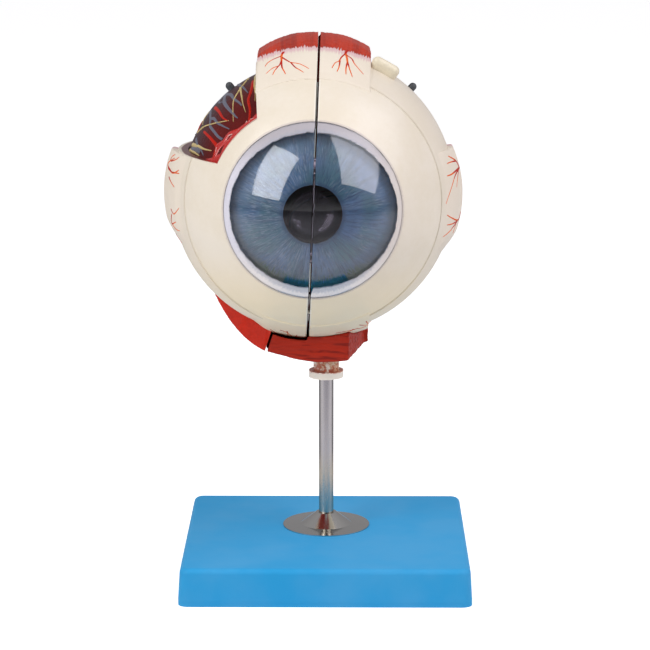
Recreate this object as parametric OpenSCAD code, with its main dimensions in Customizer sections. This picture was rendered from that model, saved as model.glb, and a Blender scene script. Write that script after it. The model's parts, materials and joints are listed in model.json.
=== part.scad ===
// Dissectible eyeball on a pole stand, about six times life size, in millimetres.
// The right half stays on the pole. The left half lifts off, with the coats, lens and clear body.
// Origin: middle of the base's underside. X runs to the right, Y to the back and Z up.
// The eyeball looks along -Y. Distances "along the gaze" are measured forwards from its centre.

/* [Eyeball] */
// Outer diameter of the white coat
eye_d = 144; // [136:1:148]
// Height of the eyeball's centre above the table
eye_z = 195.1; // [190:0.1:215]
// Sideways place of the eyeball's centre, from the pole
eye_x = -6.6; // [-8:0.1:-5]
// Lean of the eyeball's cut plane to the right
eye_roll = 2.3; // [0:0.1:4]
// Turn of the gaze to the right
eye_yaw = 0.5; // [-2:0.1:2]
// Wall of the white coat
sclera_wall = 4.8; // [4:0.1:6]
// Saw cut between the two halves
split_gap = 1.2; // [0.8:0.1:1.8]
// Gap between the two halves of the vascular coat and the retina
coat_gap = 0.4; // [0.35:0.05:0.8]
// Angle from the gaze at which the coat steps up
step_polar = 63; // [61:0.1:66]
// Height of that step
step_h = 0.4; // [0.2:0.1:0.8]
// Play between coats that lift apart
nest_gap = 0.6; // [0.6:0.05:0.9]
// Glue line between bonded castings
glue_gap = 0.1; // [0.05:0.01:0.15]

/* [Cornea and iris] */
// Opening of the white coat in front of the iris
limbus_d = 87.4; // [84:0.1:89]
// Outer radius of curvature of the clear dome
cornea_curve_r = 55; // [50:0.5:60]
// Wall of the clear dome
cornea_wall = 2; // [1.5:0.1:2.5]
// Depth of the dome's rim inside the white coat
cornea_seat = 4; // [3:0.1:5]
// Outer radius of curvature of the iris
iris_curve_r = 57.5; // [52:0.5:64]
// Wall of the iris
iris_wall = 1.8; // [1.2:0.1:2.4]
// Width of the flange that the iris stands on
iris_flange = 1.2; // [0.8:0.1:1.8]
// Diameter of the pupil
pupil_d = 28.4; // [22:0.1:34]

/* [Inner coats] */
// Wall of the vascular coat
choroid_wall = 2; // [1.5:0.1:2.5]
// Wall of the retina
retina_wall = 1.4; // [1:0.1:2]
// Thickness of the ciliary ring along the gaze
ciliary_depth = 6.6; // [5:0.1:8]
// Bore of the ciliary ring
ciliary_bore_d = 60; // [56:0.5:68]
// Wall of the hollow clear body
vitreous_wall = 2.5; // [2:0.1:3.5]

/* [Lens] */
// Diameter of the lens
lens_d = 52; // [46:0.5:54]
// Thickness of the lens
lens_t = 23; // [21:0.5:25]
// Radius of curvature of its front
lens_front_r = 60; // [52:1:70]
// Radius of curvature of its back
lens_back_r = 30; // [29:0.5:34]
// Least gap between its rim and the iris
lens_gap = 3.5; // [2:0.1:3.7]
// Least depth of its seat in the clear body
lens_seat = 3.4; // [3.2:0.1:5]

/* [Straight muscles] */
// Angle from the gaze at which the muscles start
muscle_start = 59.5; // [58:0.1:61]
// Radius of the arc in which a muscle leaves the eyeball
flare_r = 118; // [114:1:125]
// Thickness of a muscle at its front edge
muscle_edge = 0.3; // [0.2:0.1:0.6]
// Left edge of the upper muscle
superior_left = 31; // [29:0.5:33]
// Right edge of the upper muscle
superior_right = 26.5; // [24:0.5:30]
// Radius of the upper muscle's rounded back
superior_crown_r = 52; // [46:1:60]
// Height of that back over the white coat
superior_rise = 7; // [5.5:0.5:9]
// Angle from the gaze at which the upper muscle is cut off
superior_end_angle = 112; // [104:1:118]
// Upper edge of the outer muscle, and floor of the window
lateral_top = 20; // [14:0.5:24]
// Lower edge of the outer muscle
lateral_bottom = 29.5; // [27:0.5:32]
// Upper edge of the inner muscle
medial_top = 27; // [22:0.5:32]
// Lower edge of the inner muscle
medial_bottom = 29.5; // [24:0.5:32]
// Angle from the gaze at which the side muscles are cut off
side_end_angle = 94; // [91:1:98]
// Radius of the side muscles' rounded backs
side_crown_r = 59.5; // [54:0.5:66]
// Height of those backs over the white coat
side_rise = 4; // [2.5:0.5:6]
// Width of the lower muscle
inferior_w = 62; // [56:1:64]
// Angle from the gaze at which the lower muscle is cut off
inferior_end_angle = 97; // [94:1:100]

/* [Oblique muscles] */
// Distance of the fixed oblique piece's underside below the eyeball's centre
oblique_drop = 84.5; // [82:0.5:86]
// Radius of that underside
medial_crown_r = 83.5; // [76:0.5:90]
// Sideways place of its lowest point
medial_crown_x = 6; // [2:0.5:9]
// Thickness of the oblique piece that lifts off, over the white coat
oblique_t = 13; // [11:0.5:15]
// Drop of the ball in which that piece thins out to its upper end
oblique_taper = 30; // [24:1:34]
// Width of the lower oblique muscle
oblique_w = 36; // [30:1:40]
// Front edge of that muscle at its inner end
oblique_front = 19; // [16:0.5:22]
// Right end of that muscle
oblique_end = 21; // [18:0.5:24]
// Slant of its right end
oblique_end_slant = 9; // [5:0.5:13]
// Place of the cut across it, left of the eyeball's middle
oblique_cut = 18.5; // [17:0.5:22]
// Width of that cut
oblique_cut_gap = 1.2; // [1:0.1:2.2]
// Turn of the piece right of the cut, seen from above
medial_turn = 3; // [0:1:8]
// Turn of the piece left of the cut, seen from above
lateral_turn = 57; // [50:1:62]
// Reach of the piece left of the cut
lateral_reach = 66; // [58:1:72]
// Play between the fixed piece and the half that lifts off
shelf_gap = 2; // [1.8:0.1:2.4]
// Diameter of the upper oblique muscle's tendon
tendon_d = 6; // [5:0.1:7]
// Length over which the tendon shows, without its round ends
tendon_l = 9; // [6:0.5:14]
// Distance of the tendon in front of the eyeball's middle
tendon_front = 10; // [4:0.5:14]

/* [Window and vessels] */
// Distance of the window's front edge from the gaze
window_front = 51.5; // [49:0.5:55]
// Right edge of the window at its floor
window_right = 26.2; // [24:0.1:27]
// Lean of that edge to the left
window_lean = 6.5; // [4:0.5:8]
// Back edge of the window, behind the eyeball's middle
window_back = 38; // [30:1:42]
// Diameter of a vein stub
vein_d = 4; // [3:0.1:5]
// Length that a vein stub stands out
vein_l = 2; // [1.5:0.1:4]

/* [Optic nerve] */
// Angle of the nerve from straight back, towards the nose
nerve_angle = 16; // [14:1:20]
// Outer diameter of the nerve's sheath
nerve_d = 25; // [20:1:27]
// Wall of the sheath
nerve_wall = 2.6; // [2:0.1:3.5]
// Length of the sheath
nerve_l = 20; // [14:1:24]
// Length that the nerve's core stands out of the sheath
nerve_core_l = 3; // [2:0.5:5]

/* [Locating pegs] */
// Diameter of a peg
peg_d = 2.4; // [2:0.1:2.8]
// Depth of a peg in each half
peg_l = 5; // [4:0.5:7]
// Radial play of a peg in its hole
peg_play = 0.08; // [0.05:0.01:0.1]
// Rise of the path on which the half lifts off
lift_rise = 7; // [6:0.5:7]

/* [Stand] */
// Width of the base
base_w = 146; // [130:1:180]
// Depth of the base
base_l = 136; // [120:1:170]
// Height of the base
base_h = 19.1; // [16:0.1:26]
// Corner radius of the base
base_corner_r = 5; // [4:0.5:8]
// Rounding of the base's top edge
base_edge_r = 3; // [2:0.5:3.5]
// Lean of the base's sides
base_draft = 0.8; // [0.4:0.1:1.5]
// Wall of the base
base_wall = 2.6; // [2:0.1:3.5]
// Thickness of the sheet under the base
pad_t = 1.2; // [0.8:0.1:2]
// Play round that sheet
pad_play = 0.3; // [0.2:0.1:0.6]
// Distance of the pole behind the base's middle
pole_y = 11.5; // [0:0.5:20]
// Diameter of the pole
pole_d = 7.6; // [7:0.1:8]
// Radial play of the pole in its holes
pole_play = 0.08; // [0.05:0.01:0.1]
// Outer diameter of the pole's flange
flange_d = 45; // [40:1:50]
// Height of the flange
flange_h = 7; // [5:0.5:10]
// Sheet thickness of the flange
flange_t = 1; // [0.8:0.1:1.4]
// Diameter of the foot of the flange's cone
cone_d = 26.4; // [22:0.2:30]
// Diameter of the top of the flange's cone
cone_top_d = 10.4; // [10:0.1:12]
// Outer diameter of the washer
washer_d = 17; // [15:0.5:19]
// Thickness of the washer
washer_t = 1.6; // [1.2:0.1:2]
// Width of the nut across its flats
nut_flats = 13; // [12:0.1:14]
// Thickness of the nut
nut_t = 6.5; // [5.5:0.1:7]
// Length of the pole below the nut
pole_tail = 2; // [1:0.5:3]
// Diameter of the neck that the pole goes into
neck_d = 13.2; // [12:0.1:14]
// Diameter of the collar under the neck
collar_d = 17.8; // [16:0.1:22]
// Thickness of the collar
collar_t = 3.6; // [3:0.1:5]
// Distance of the collar's underside below the eyeball's centre
collar_drop = 96.4; // [94:0.1:98]
// Depth of the pole's hole
bore_l = 20; // [17:0.5:21]
// Clearance over the top of the pole
pole_top_gap = 0.3; // [0.2:0.05:0.4]

/* [Hidden] */
$fn = 96;
LEFT = -1;
RIGHT = 1;
DEGREES = 180 / PI;

// Radii of the nested coats, from the outside in
eye_r = eye_d / 2;
sclera_in_r = eye_r - sclera_wall;
choroid_r = sclera_in_r - nest_gap;
choroid_in_r = choroid_r - choroid_wall;
retina_r = choroid_in_r - glue_gap;
retina_in_r = retina_r - retina_wall;
vitreous_r = retina_in_r - nest_gap;
vitreous_in_r = vitreous_r - vitreous_wall;
bonded_r = eye_r + glue_gap;
reach = 2 * eye_r;

// Distance along the gaze at which a ball of radius r is s away from its axis
function along(r, s) = sqrt(r * r - s * s);

// Places along the gaze, from the cornea inwards
limbus_r = limbus_d / 2;
cornea_r = limbus_r - glue_gap;
cornea_base = along(eye_r - step_h, cornea_r);
cornea_centre = cornea_base - along(cornea_curve_r, cornea_r);
cornea_rim_r = along(cornea_curve_r - cornea_wall, cornea_base - cornea_centre);
iris_flange_top = cornea_base - cornea_seat - nest_gap;
iris_flange_t = iris_wall / 2;
iris_r = cornea_rim_r - nest_gap;
iris_edge = iris_flange_top + iris_wall / 2;
iris_centre = iris_edge - along(iris_curve_r, iris_r);
pupil_r = pupil_d / 2;
choroid_front = iris_flange_top - iris_flange_t - glue_gap;
ciliary_back = choroid_front - ciliary_depth;
retina_front = ciliary_back - glue_gap;
vitreous_front_face = ciliary_back - nest_gap;

// The lens stands in a dish in the clear body's front, and clear of the iris
lens_r = lens_d / 2;
iris_back_at_rim = iris_centre + along(iris_curve_r - iris_wall, lens_r);
lens_crown = lens_front_r - along(lens_front_r, lens_r);
lens_front = min(vitreous_front_face - lens_seat + lens_t, iris_back_at_rim - lens_gap + lens_crown);
lens_back = lens_front - lens_t;
dish_r = lens_back_r + glue_gap;

// Distance of the muscles' backs from the eyeball's centre
superior_top = eye_r + superior_rise;
side_reach = eye_r + side_rise;

// The arc of a straight muscle leaves the coat smoothly
flare_offset = flare_r - (bonded_r + muscle_edge);

// The lower oblique muscle, in the plane seen from above
oblique_r = eye_r + oblique_t;
medial_len = (oblique_cut + oblique_end) / cos(medial_turn);
cut_front = oblique_front - (oblique_cut + oblique_end) * tan(medial_turn);

// The pole's hole and what stands on the base
collar_z = eye_z - collar_drop;
bore_top = collar_z + bore_l;
pole_top = bore_top - pole_top_gap;
base_roof = base_h - base_wall;
washer_z = base_roof - washer_t;
nut_z = washer_z - nut_t;
pole_foot = nut_z - pole_tail;
pole_hole_r = pole_d / 2 + pole_play;
peg_circle_r = (eye_r + sclera_in_r) / 2;
// Angles of the pegs from the gaze, above it where positive
PEG_POLARS = [-49, 100, -140];
// Directions of the vein stubs: angle round the vertical from the right, and angle of height
VEINS_RIGHT = [[16, 47], [50, -30]];
VEIN_LOWER_LEFT = [109, -32];
VEIN_UPPER_LEFT = [169, 48.5];

// ---- Places ----

// Moves children from the eyeball's own frame to their place over the stand
module in_eye() {
    translate([eye_x, pole_y, eye_z]) rotate([0, eye_roll, eye_yaw]) children();
}

// Turns a body of revolution's axis to the gaze
module along_gaze() {
    rotate([90, 0, 0]) children();
}

// The half space on one side of a gap in the middle
module half_space(side, gap = split_gap) {
    translate([side * (reach + gap) / 2, 0, 0]) cube([reach, 2 * reach, 2 * reach], true);
}

// One half of its children, in place over the stand
module eye_half(side, gap = split_gap) {
    in_eye() intersection() {
        children();
        half_space(side, gap);
    }
}

// Points children's upright axis along the path on which the half lifts off
module along_lift() {
    rotate([0, lift_rise - 90, 0]) children();
}

// Points children's upright axis out of the eyeball, at radius r
module outwards(direction, r) {
    rotate([0, 0, direction[0]]) rotate([0, 90 - direction[1], 0]) translate([0, 0, r]) children();
}

// ---- Profiles: sideways distance from the gaze in x, distance along the gaze in y ----

module right_of_axis() {
    intersection() {
        children();
        translate([0, -reach]) square([reach, 2 * reach]);
    }
}

// A strip between two places along the gaze
module between(low, high) {
    translate([0, low]) square([reach, high - low]);
}

// A ring of wall between radii, cut off at a place along the gaze
module bowl_profile(r, r_in, front) {
    intersection() {
        difference() {
            circle(r);
            circle(r_in);
        }
        between(-reach, front);
    }
}

module sclera_profile() {
    difference() {
        right_of_axis() union() {
            circle(eye_r - step_h);
            intersection() {
                circle(eye_r);
                between(-reach, eye_r * cos(step_polar));
            }
        }
        circle(sclera_in_r);
        square([limbus_r, reach]);
    }
}

module cornea_profile() {
    intersection() {
        translate([0, cornea_centre]) difference() {
            circle(cornea_curve_r);
            circle(cornea_curve_r - cornea_wall);
        }
        between(cornea_base, reach);
    }
    translate([cornea_rim_r, cornea_base - cornea_seat])
        square([cornea_r - cornea_rim_r, cornea_seat]);
}

module iris_profile() {
    intersection() {
        translate([0, iris_centre]) difference() {
            circle(iris_curve_r);
            circle(iris_curve_r - iris_wall);
        }
        translate([pupil_r, iris_flange_top - iris_flange_t])
            square([iris_r - pupil_r, reach]);
    }
    translate([iris_r - iris_flange, iris_flange_top - iris_flange_t])
        square([2 * iris_flange, iris_flange_t]);
}

module ciliary_profile() {
    intersection() {
        circle(retina_r);
        between(ciliary_back, choroid_front);
        translate([ciliary_bore_d / 2, 0]) square(reach);
    }
}

module vitreous_front_profile() {
    dish_centre = lens_back + lens_back_r;
    difference() {
        union() {
            intersection() {
                circle(vitreous_r);
                between(vitreous_front_face - vitreous_wall, vitreous_front_face);
            }
            intersection() {
                translate([0, dish_centre]) circle(dish_r + vitreous_wall);
                between(0, vitreous_front_face);
            }
        }
        translate([0, dish_centre]) circle(dish_r);
    }
}

module lens_profile() {
    intersection() {
        translate([0, lens_front - lens_front_r]) circle(lens_front_r);
        translate([0, lens_back + lens_back_r]) circle(lens_back_r);
        square([lens_r, reach]);
    }
}

// A straight muscle from the step to its cut end, thicker by grow
module muscle_profile(end, grow = 0) {
    difference() {
        intersection() {
            translate(-flare_offset * [sin(muscle_start), cos(muscle_start)])
                circle(flare_r + grow);
            polygon([
                [0, 0],
                for (turn = [muscle_start - grow, 90, end + grow]) reach * [sin(turn), cos(turn)]
            ]);
        }
        circle(bonded_r);
    }
}

// ---- Bodies of revolution about the gaze ----

module shell(r, r_in, front) {
    along_gaze() rotate_extrude() right_of_axis() bowl_profile(r, r_in, front);
}

module sclera() {
    along_gaze() rotate_extrude() sclera_profile();
}

module cornea() {
    along_gaze() rotate_extrude() right_of_axis() cornea_profile();
}

module iris() {
    along_gaze() rotate_extrude() iris_profile();
}

module ciliary_body() {
    along_gaze() rotate_extrude() ciliary_profile();
}

// A straight muscle between two planes: low and high are sideways, or heights if upright
module straight_muscle(low, high, end, upright = false, grow = 0) {
    intersection() {
        along_gaze() rotate_extrude() muscle_profile(end, grow);
        translate(upright ? [0, -reach, low] : [low, -reach, 0])
            cube(upright ? [reach, 2 * reach, high - low] : [high - low, 2 * reach, reach]);
    }
}

// A round bar along Y that reaches up to height z
module crown(r, z) {
    translate([0, 0, z - r]) rotate([90, 0, 0]) cylinder(r = r, h = 2 * reach, center = true);
}

module upper_muscle() {
    intersection() {
        straight_muscle(-superior_left, superior_right, superior_end_angle);
        crown(superior_crown_r, superior_top);
    }
}

// The muscle to the eyeball's right, between two heights
module side_muscle(low, high, grow = 0) {
    intersection() {
        straight_muscle(low, high, side_end_angle, true, grow);
        rotate([0, 90, 0]) crown(side_crown_r + grow, side_reach + grow);
    }
}

module lower_muscle(grow = 0) {
    half = inferior_w / 2 + grow;
    mirror([0, 0, 1]) straight_muscle(-half, half, inferior_end_angle, grow = grow);
}

// The opening in the white coat through which the vascular coat shows
module window() {
    difference() {
        intersection() {
            translate([-reach, -eye_r, lateral_top]) cube([reach, eye_r + window_back, reach]);
            translate([-window_right, -reach, lateral_top]) rotate([0, -window_lean, 0])
                translate([-reach, 0, -reach]) cube([reach, 2 * reach, 3 * reach]);
        }
        along_gaze() cylinder(r = window_front, h = reach);
    }
}

module peg_places() {
    for (turn = PEG_POLARS)
        translate(peg_circle_r * [0, -cos(turn), sin(turn)]) along_lift() children();
}

module pegs(play = 0) {
    peg_places() cylinder(r = peg_d / 2 + play, h = 2 * (peg_l + play), center = true, $fn = 32);
}

// ---- The lower oblique muscle, seen from above ----

// Strip that starts at the cut's front end and runs away from it
module oblique_strip(turn, length) {
    translate([-oblique_cut, -cut_front]) rotate(turn) translate([-length, 0])
        square([length, oblique_w]);
}

module medial_plan() {
    difference() {
        mirror([1, 0]) translate([2 * oblique_cut, 0])
            oblique_strip(medial_turn, medial_len + oblique_end_slant);
        translate([oblique_end, -oblique_front]) rotate(-atan(oblique_end_slant / oblique_w))
            translate([0, -oblique_w]) square(2 * oblique_w);
    }
}

module lateral_plan() {
    oblique_strip(-lateral_turn, lateral_reach);
}

// What stands over a plan below the eyeball's middle
module below(length = reach) {
    translate([0, 0, -length]) linear_extrude(length) children();
}

// Everything to the left of the slanted cut across the muscle
module left_of_cut(gap) {
    translate([-oblique_cut, 0, -eye_r]) rotate([0, lateral_lean(), 0])
        translate([-reach - gap / 2, -reach, -reach]) cube([reach, 2 * reach, 2 * reach]);
}

function lateral_lean() = asin(oblique_cut / eye_r);

// ---- Stand ----

module base_block(w, l, h, corner_r, edge_r) {
    hull() {
        for (side = [-1, 1], end = [-1, 1]) {
            translate([side * (w / 2 - corner_r), end * (l / 2 - corner_r), 0])
                cylinder(r = corner_r, h = edge_r, $fn = 32);
            translate([
                side * (w / 2 - base_draft - corner_r),
                end * (l / 2 - base_draft - corner_r),
                h - edge_r
            ])
                rotate_extrude($fn = 32) {
                    square([corner_r - edge_r, edge_r]);
                    translate([corner_r - edge_r, 0]) intersection() {
                        circle(edge_r);
                        square(edge_r);
                    }
                }
        }
    }
}

module base_shell() {
    hollow_w = base_w - 2 * (base_wall + base_draft);
    hollow_l = base_l - 2 * (base_wall + base_draft);
    color("steelblue") difference() {
        base_block(base_w, base_l, base_h, base_corner_r, base_edge_r);
        translate([-hollow_w / 2, -hollow_l / 2, -base_wall])
            cube([hollow_w, hollow_l, base_h]);
        translate([0, pole_y, 0]) cylinder(r = pole_hole_r, h = 2 * base_h);
    }
}

module base_pad() {
    pad_w = base_w - 2 * (base_wall + base_draft + pad_play);
    pad_l = base_l - 2 * (base_wall + base_draft + pad_play);
    color("dimgray") translate([-pad_w / 2, -pad_l / 2, 0]) cube([pad_w, pad_l, pad_t]);
}

module pole_flange() {
    color("silver") translate([0, pole_y, base_h]) rotate_extrude() polygon([
        [pole_hole_r, flange_h - flange_t],
        [cone_top_d / 2 - flange_t, flange_h - flange_t],
        [cone_d / 2 - flange_t, 0],
        [flange_d / 2, 0],
        [flange_d / 2, flange_t / 2],
        [cone_d / 2, flange_t],
        [cone_top_d / 2, flange_h],
        [pole_hole_r, flange_h]
    ]);
}

module pole_washer() {
    color("silver") translate([0, pole_y, washer_z]) rotate_extrude()
        translate([pole_hole_r, 0]) square([washer_d / 2 - pole_hole_r, washer_t]);
}

module pole_nut() {
    color("silver") translate([0, pole_y, nut_z]) difference() {
        cylinder(d = nut_flats / cos(30), h = nut_t, $fn = 6);
        translate([0, 0, -nut_t]) cylinder(r = pole_hole_r, h = 3 * nut_t);
    }
}

module pole() {
    color("silver") translate([0, pole_y, pole_foot]) cylinder(d = pole_d, h = pole_top - pole_foot);
}

// Outside of the neck and collar, thicker by grow
module socket_outside(grow = 0) {
    translate([0, pole_y, collar_z - grow]) {
        cylinder(d = collar_d + 2 * grow, h = collar_t + 2 * grow);
        cylinder(d = neck_d + 2 * grow, h = collar_drop);
    }
}

// Outside of the neck alone, as the hole that it takes in the castings round it
module neck_hole() {
    translate([0, pole_y, collar_z]) cylinder(r = neck_d / 2 + glue_gap, h = collar_drop);
}

// ---- Half that stays on the pole ----

module pole_socket() {
    color("ivory") difference() {
        socket_outside();
        in_eye() sphere(bonded_r);
        translate([0, pole_y, collar_z - bore_l]) cylinder(r = pole_hole_r, h = 2 * bore_l);
    }
}

module sclera_right() {
    color("ivory") difference() {
        eye_half(RIGHT) sclera();
        in_eye() pegs(peg_play);
    }
}

module cornea_right() {
    color("aliceblue", 0.4) eye_half(RIGHT) cornea();
}

module superior_rectus_right() {
    color("ivory") eye_half(RIGHT) upper_muscle();
}

module medial_rectus() {
    color("ivory") eye_half(RIGHT) side_muscle(-medial_bottom, medial_top);
}

module inferior_rectus_right() {
    color("ivory") difference() {
        eye_half(RIGHT) lower_muscle();
        neck_hole();
    }
}

module inferior_oblique_medial() {
    color("firebrick") difference() {
        in_eye() difference() {
            intersection() {
                translate([medial_crown_x, 0, 0]) mirror([0, 0, 1])
                    crown(medial_crown_r, oblique_drop);
                below() medial_plan();
            }
            sphere(bonded_r);
            lower_muscle(glue_gap);
            intersection() {
                union() {
                    sphere(eye_r + shelf_gap);
                    lower_muscle(shelf_gap);
                }
                half_space(LEFT, 0);
            }
            left_of_cut(-oblique_cut_gap);
        }
        neck_hole();
    }
}

// An upright rod with round ends, its middle at the origin
module rounded_rod(r, length) {
    rotate_extrude($fn = 32) right_of_axis() {
        translate([-r, -length / 2]) square([2 * r, length]);
        for (end = [-1, 1]) translate([0, end * length / 2]) circle(r);
    }
}

module superior_oblique_tendon() {
    line_r = along(bonded_r + tendon_d / 2, tendon_front);
    start = acos((superior_right + glue_gap + tendon_d / 2) / line_r);
    color("ivory") in_eye() rotate([0, tendon_l / (2 * line_r) * DEGREES - start, 0])
        translate([line_r, -tendon_front, 0]) rounded_rod(tendon_d / 2, tendon_l);
}

// A vein stub with a round end, standing on a ball of radius r
module vein_stub(direction, r) {
    color("dimgray") in_eye() outwards(direction, 0) difference() {
        translate([0, 0, r - vein_d / 2]) {
            cylinder(d = vein_d, h = vein_d / 2 + vein_l, $fn = 32);
            translate([0, 0, vein_d / 2 + vein_l]) sphere(d = vein_d, $fn = 32);
        }
        sphere(r);
    }
}

module vortex_veins_right() {
    for (direction = VEINS_RIGHT) vein_stub(direction, bonded_r);
}

// Moves children to the optic nerve, with its axis pointing back
module at_nerve() {
    in_eye() rotate([0, 0, -nerve_angle]) rotate([-90, 0, 0]) children();
}

module optic_nerve_sheath() {
    color("ivory") difference() {
        at_nerve() cylinder(d = nerve_d, h = eye_r + nerve_l);
        at_nerve() cylinder(d = nerve_d - 2 * nerve_wall, h = 2 * reach);
        in_eye() sphere(bonded_r);
    }
}

module optic_nerve_core() {
    color("khaki") difference() {
        at_nerve()
            cylinder(d = nerve_d - 2 * (nerve_wall + glue_gap), h = eye_r + nerve_l + nerve_core_l);
        in_eye() sphere(bonded_r);
    }
}

// ---- Half that lifts off ----

module sclera_left() {
    color("ivory") difference() {
        eye_half(LEFT) sclera();
        in_eye() window();
        in_eye() pegs(glue_gap);
    }
}

module cornea_left() {
    color("aliceblue", 0.4) eye_half(LEFT) cornea();
}

module superior_rectus_left() {
    color("ivory") eye_half(LEFT) upper_muscle();
}

module lateral_rectus() {
    color("ivory") eye_half(LEFT) mirror([1, 0, 0]) side_muscle(-lateral_bottom, lateral_top);
}

module inferior_rectus_left() {
    color("ivory") eye_half(LEFT) lower_muscle();
}

module inferior_oblique_lateral() {
    color("red") in_eye() difference() {
        intersection() {
            sphere(oblique_r);
            translate([0, 0, -oblique_taper]) sphere(eye_r);
            below() lateral_plan();
            left_of_cut(oblique_cut_gap);
        }
        sphere(bonded_r);
        lower_muscle(glue_gap);
        mirror([1, 0, 0]) side_muscle(-lateral_bottom, lateral_top, glue_gap);
    }
}

module vortex_vein_lower_left() {
    vein_stub(VEIN_LOWER_LEFT, bonded_r);
}

module locating_pegs() {
    color("ivory") in_eye() pegs();
}

// ---- Inner coats ----

module choroid(side) {
    color("maroon") eye_half(side, coat_gap) shell(choroid_r, choroid_in_r, choroid_front);
}

module retina(side) {
    color("orange") eye_half(side, coat_gap) shell(retina_r, retina_in_r, retina_front);
}

module choroid_left() {
    choroid(LEFT);
}

module retina_left() {
    retina(LEFT);
}

module ciliary_body_left() {
    color("saddlebrown") eye_half(LEFT) ciliary_body();
}

module iris_left() {
    color("steelblue") eye_half(LEFT) iris();
}

module vortex_vein_upper_left() {
    vein_stub(VEIN_UPPER_LEFT, choroid_r + glue_gap);
}

module choroid_right() {
    choroid(RIGHT);
}

module retina_right() {
    retina(RIGHT);
}

module ciliary_body_right() {
    color("saddlebrown") eye_half(RIGHT) ciliary_body();
}

module iris_right() {
    color("steelblue") eye_half(RIGHT) iris();
}

// ---- Clear body and lens ----

module vitreous_shell() {
    color("azure", 0.5) in_eye()
        shell(vitreous_r, vitreous_in_r, vitreous_front_face - vitreous_wall);
}

module vitreous_front() {
    color("azure", 0.5) in_eye() along_gaze()
        rotate_extrude() right_of_axis() vitreous_front_profile();
}

module lens() {
    color("white", 0.5) in_eye() along_gaze() rotate_extrude() lens_profile();
}

base_shell();
base_pad();
pole_flange();
pole_washer();
pole_nut();
pole();
pole_socket();
sclera_right();
cornea_right();
superior_rectus_right();
medial_rectus();
inferior_rectus_right();
inferior_oblique_medial();
superior_oblique_tendon();
vortex_veins_right();
optic_nerve_sheath();
optic_nerve_core();
sclera_left();
cornea_left();
superior_rectus_left();
lateral_rectus();
inferior_rectus_left();
inferior_oblique_lateral();
vortex_vein_lower_left();
locating_pegs();
choroid_left();
retina_left();
ciliary_body_left();
iris_left();
vortex_vein_upper_left();
choroid_right();
retina_right();
ciliary_body_right();
iris_right();
vitreous_shell();
vitreous_front();
lens();
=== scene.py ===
"""Looks of a dissectible eyeball on a pole stand.

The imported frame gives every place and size. This file paints the castings, softens the muscles'
edges, lays the vessels on the surfaces that carry them and lights the model from two soft boxes.
Lengths inside the eyeball are millimetres in its own frame: X to the right, the gaze along -Y and
Z up. Everything that reaches the scene is in metres.
"""

import json
import logging
import math
from collections import defaultdict
from dataclasses import dataclass, field
from enum import Enum
from typing import Callable, Iterable, Sequence

import bmesh
import bpy
from mathutils import Euler, Matrix, Vector, noise
from mathutils.bvhtree import BVHTree

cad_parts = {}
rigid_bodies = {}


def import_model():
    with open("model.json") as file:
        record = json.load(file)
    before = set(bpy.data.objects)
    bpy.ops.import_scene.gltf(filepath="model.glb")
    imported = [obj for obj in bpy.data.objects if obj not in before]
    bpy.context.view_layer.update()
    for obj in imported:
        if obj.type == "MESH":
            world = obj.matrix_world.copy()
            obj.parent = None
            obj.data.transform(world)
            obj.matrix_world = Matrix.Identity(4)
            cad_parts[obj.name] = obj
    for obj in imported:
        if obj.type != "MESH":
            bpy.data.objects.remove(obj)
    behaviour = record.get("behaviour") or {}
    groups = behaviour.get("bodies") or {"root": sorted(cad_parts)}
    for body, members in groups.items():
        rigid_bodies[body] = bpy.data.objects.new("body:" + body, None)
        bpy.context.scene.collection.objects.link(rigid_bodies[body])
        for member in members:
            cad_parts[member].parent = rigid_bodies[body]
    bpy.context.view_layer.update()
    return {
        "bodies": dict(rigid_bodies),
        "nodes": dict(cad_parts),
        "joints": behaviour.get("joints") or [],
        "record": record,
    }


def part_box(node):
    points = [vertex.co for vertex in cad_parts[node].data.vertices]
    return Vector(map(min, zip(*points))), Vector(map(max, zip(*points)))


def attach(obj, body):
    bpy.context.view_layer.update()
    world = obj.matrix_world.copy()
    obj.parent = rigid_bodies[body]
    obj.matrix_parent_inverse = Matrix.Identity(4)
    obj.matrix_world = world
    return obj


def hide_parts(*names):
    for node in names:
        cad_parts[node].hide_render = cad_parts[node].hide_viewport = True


MM = 0.001
MERGE_M = 2e-6
LOG = logging.getLogger("eye_model")

Rgb = tuple[float, float, float]
Pair = tuple[float, float]
Pixel = tuple[float, float]
Hit = tuple[Vector, Vector]


class Side(Enum):
    """The two sides of the saw cut."""

    LEFT = -1
    RIGHT = 1

    @property
    def word(self) -> str:
        """The side's name as it stands in node names."""
        return self.name.lower()


class Body(str, Enum):
    """The bodies that the finished pieces ride on."""

    FIXED = "fixed_half"
    REMOVABLE = "removable_half"
    COATS_LEFT = "choroid_half_left"
    COATS_RIGHT = "choroid_half_right"


def clamped(value: float) -> float:
    """Keeps a value between 0 and 1."""
    return min(1.0, max(0.0, value))


def shifted(zone: Pair, start: float) -> Pair:
    """Moves a zone along by a distance."""
    return start + zone[0], start + zone[1]


def shaded(color: Rgb, factor: float) -> Rgb:
    """Makes a colour darker."""
    return tuple(factor * part for part in color)


# ---- Frame, eyeball and camera ----


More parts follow.
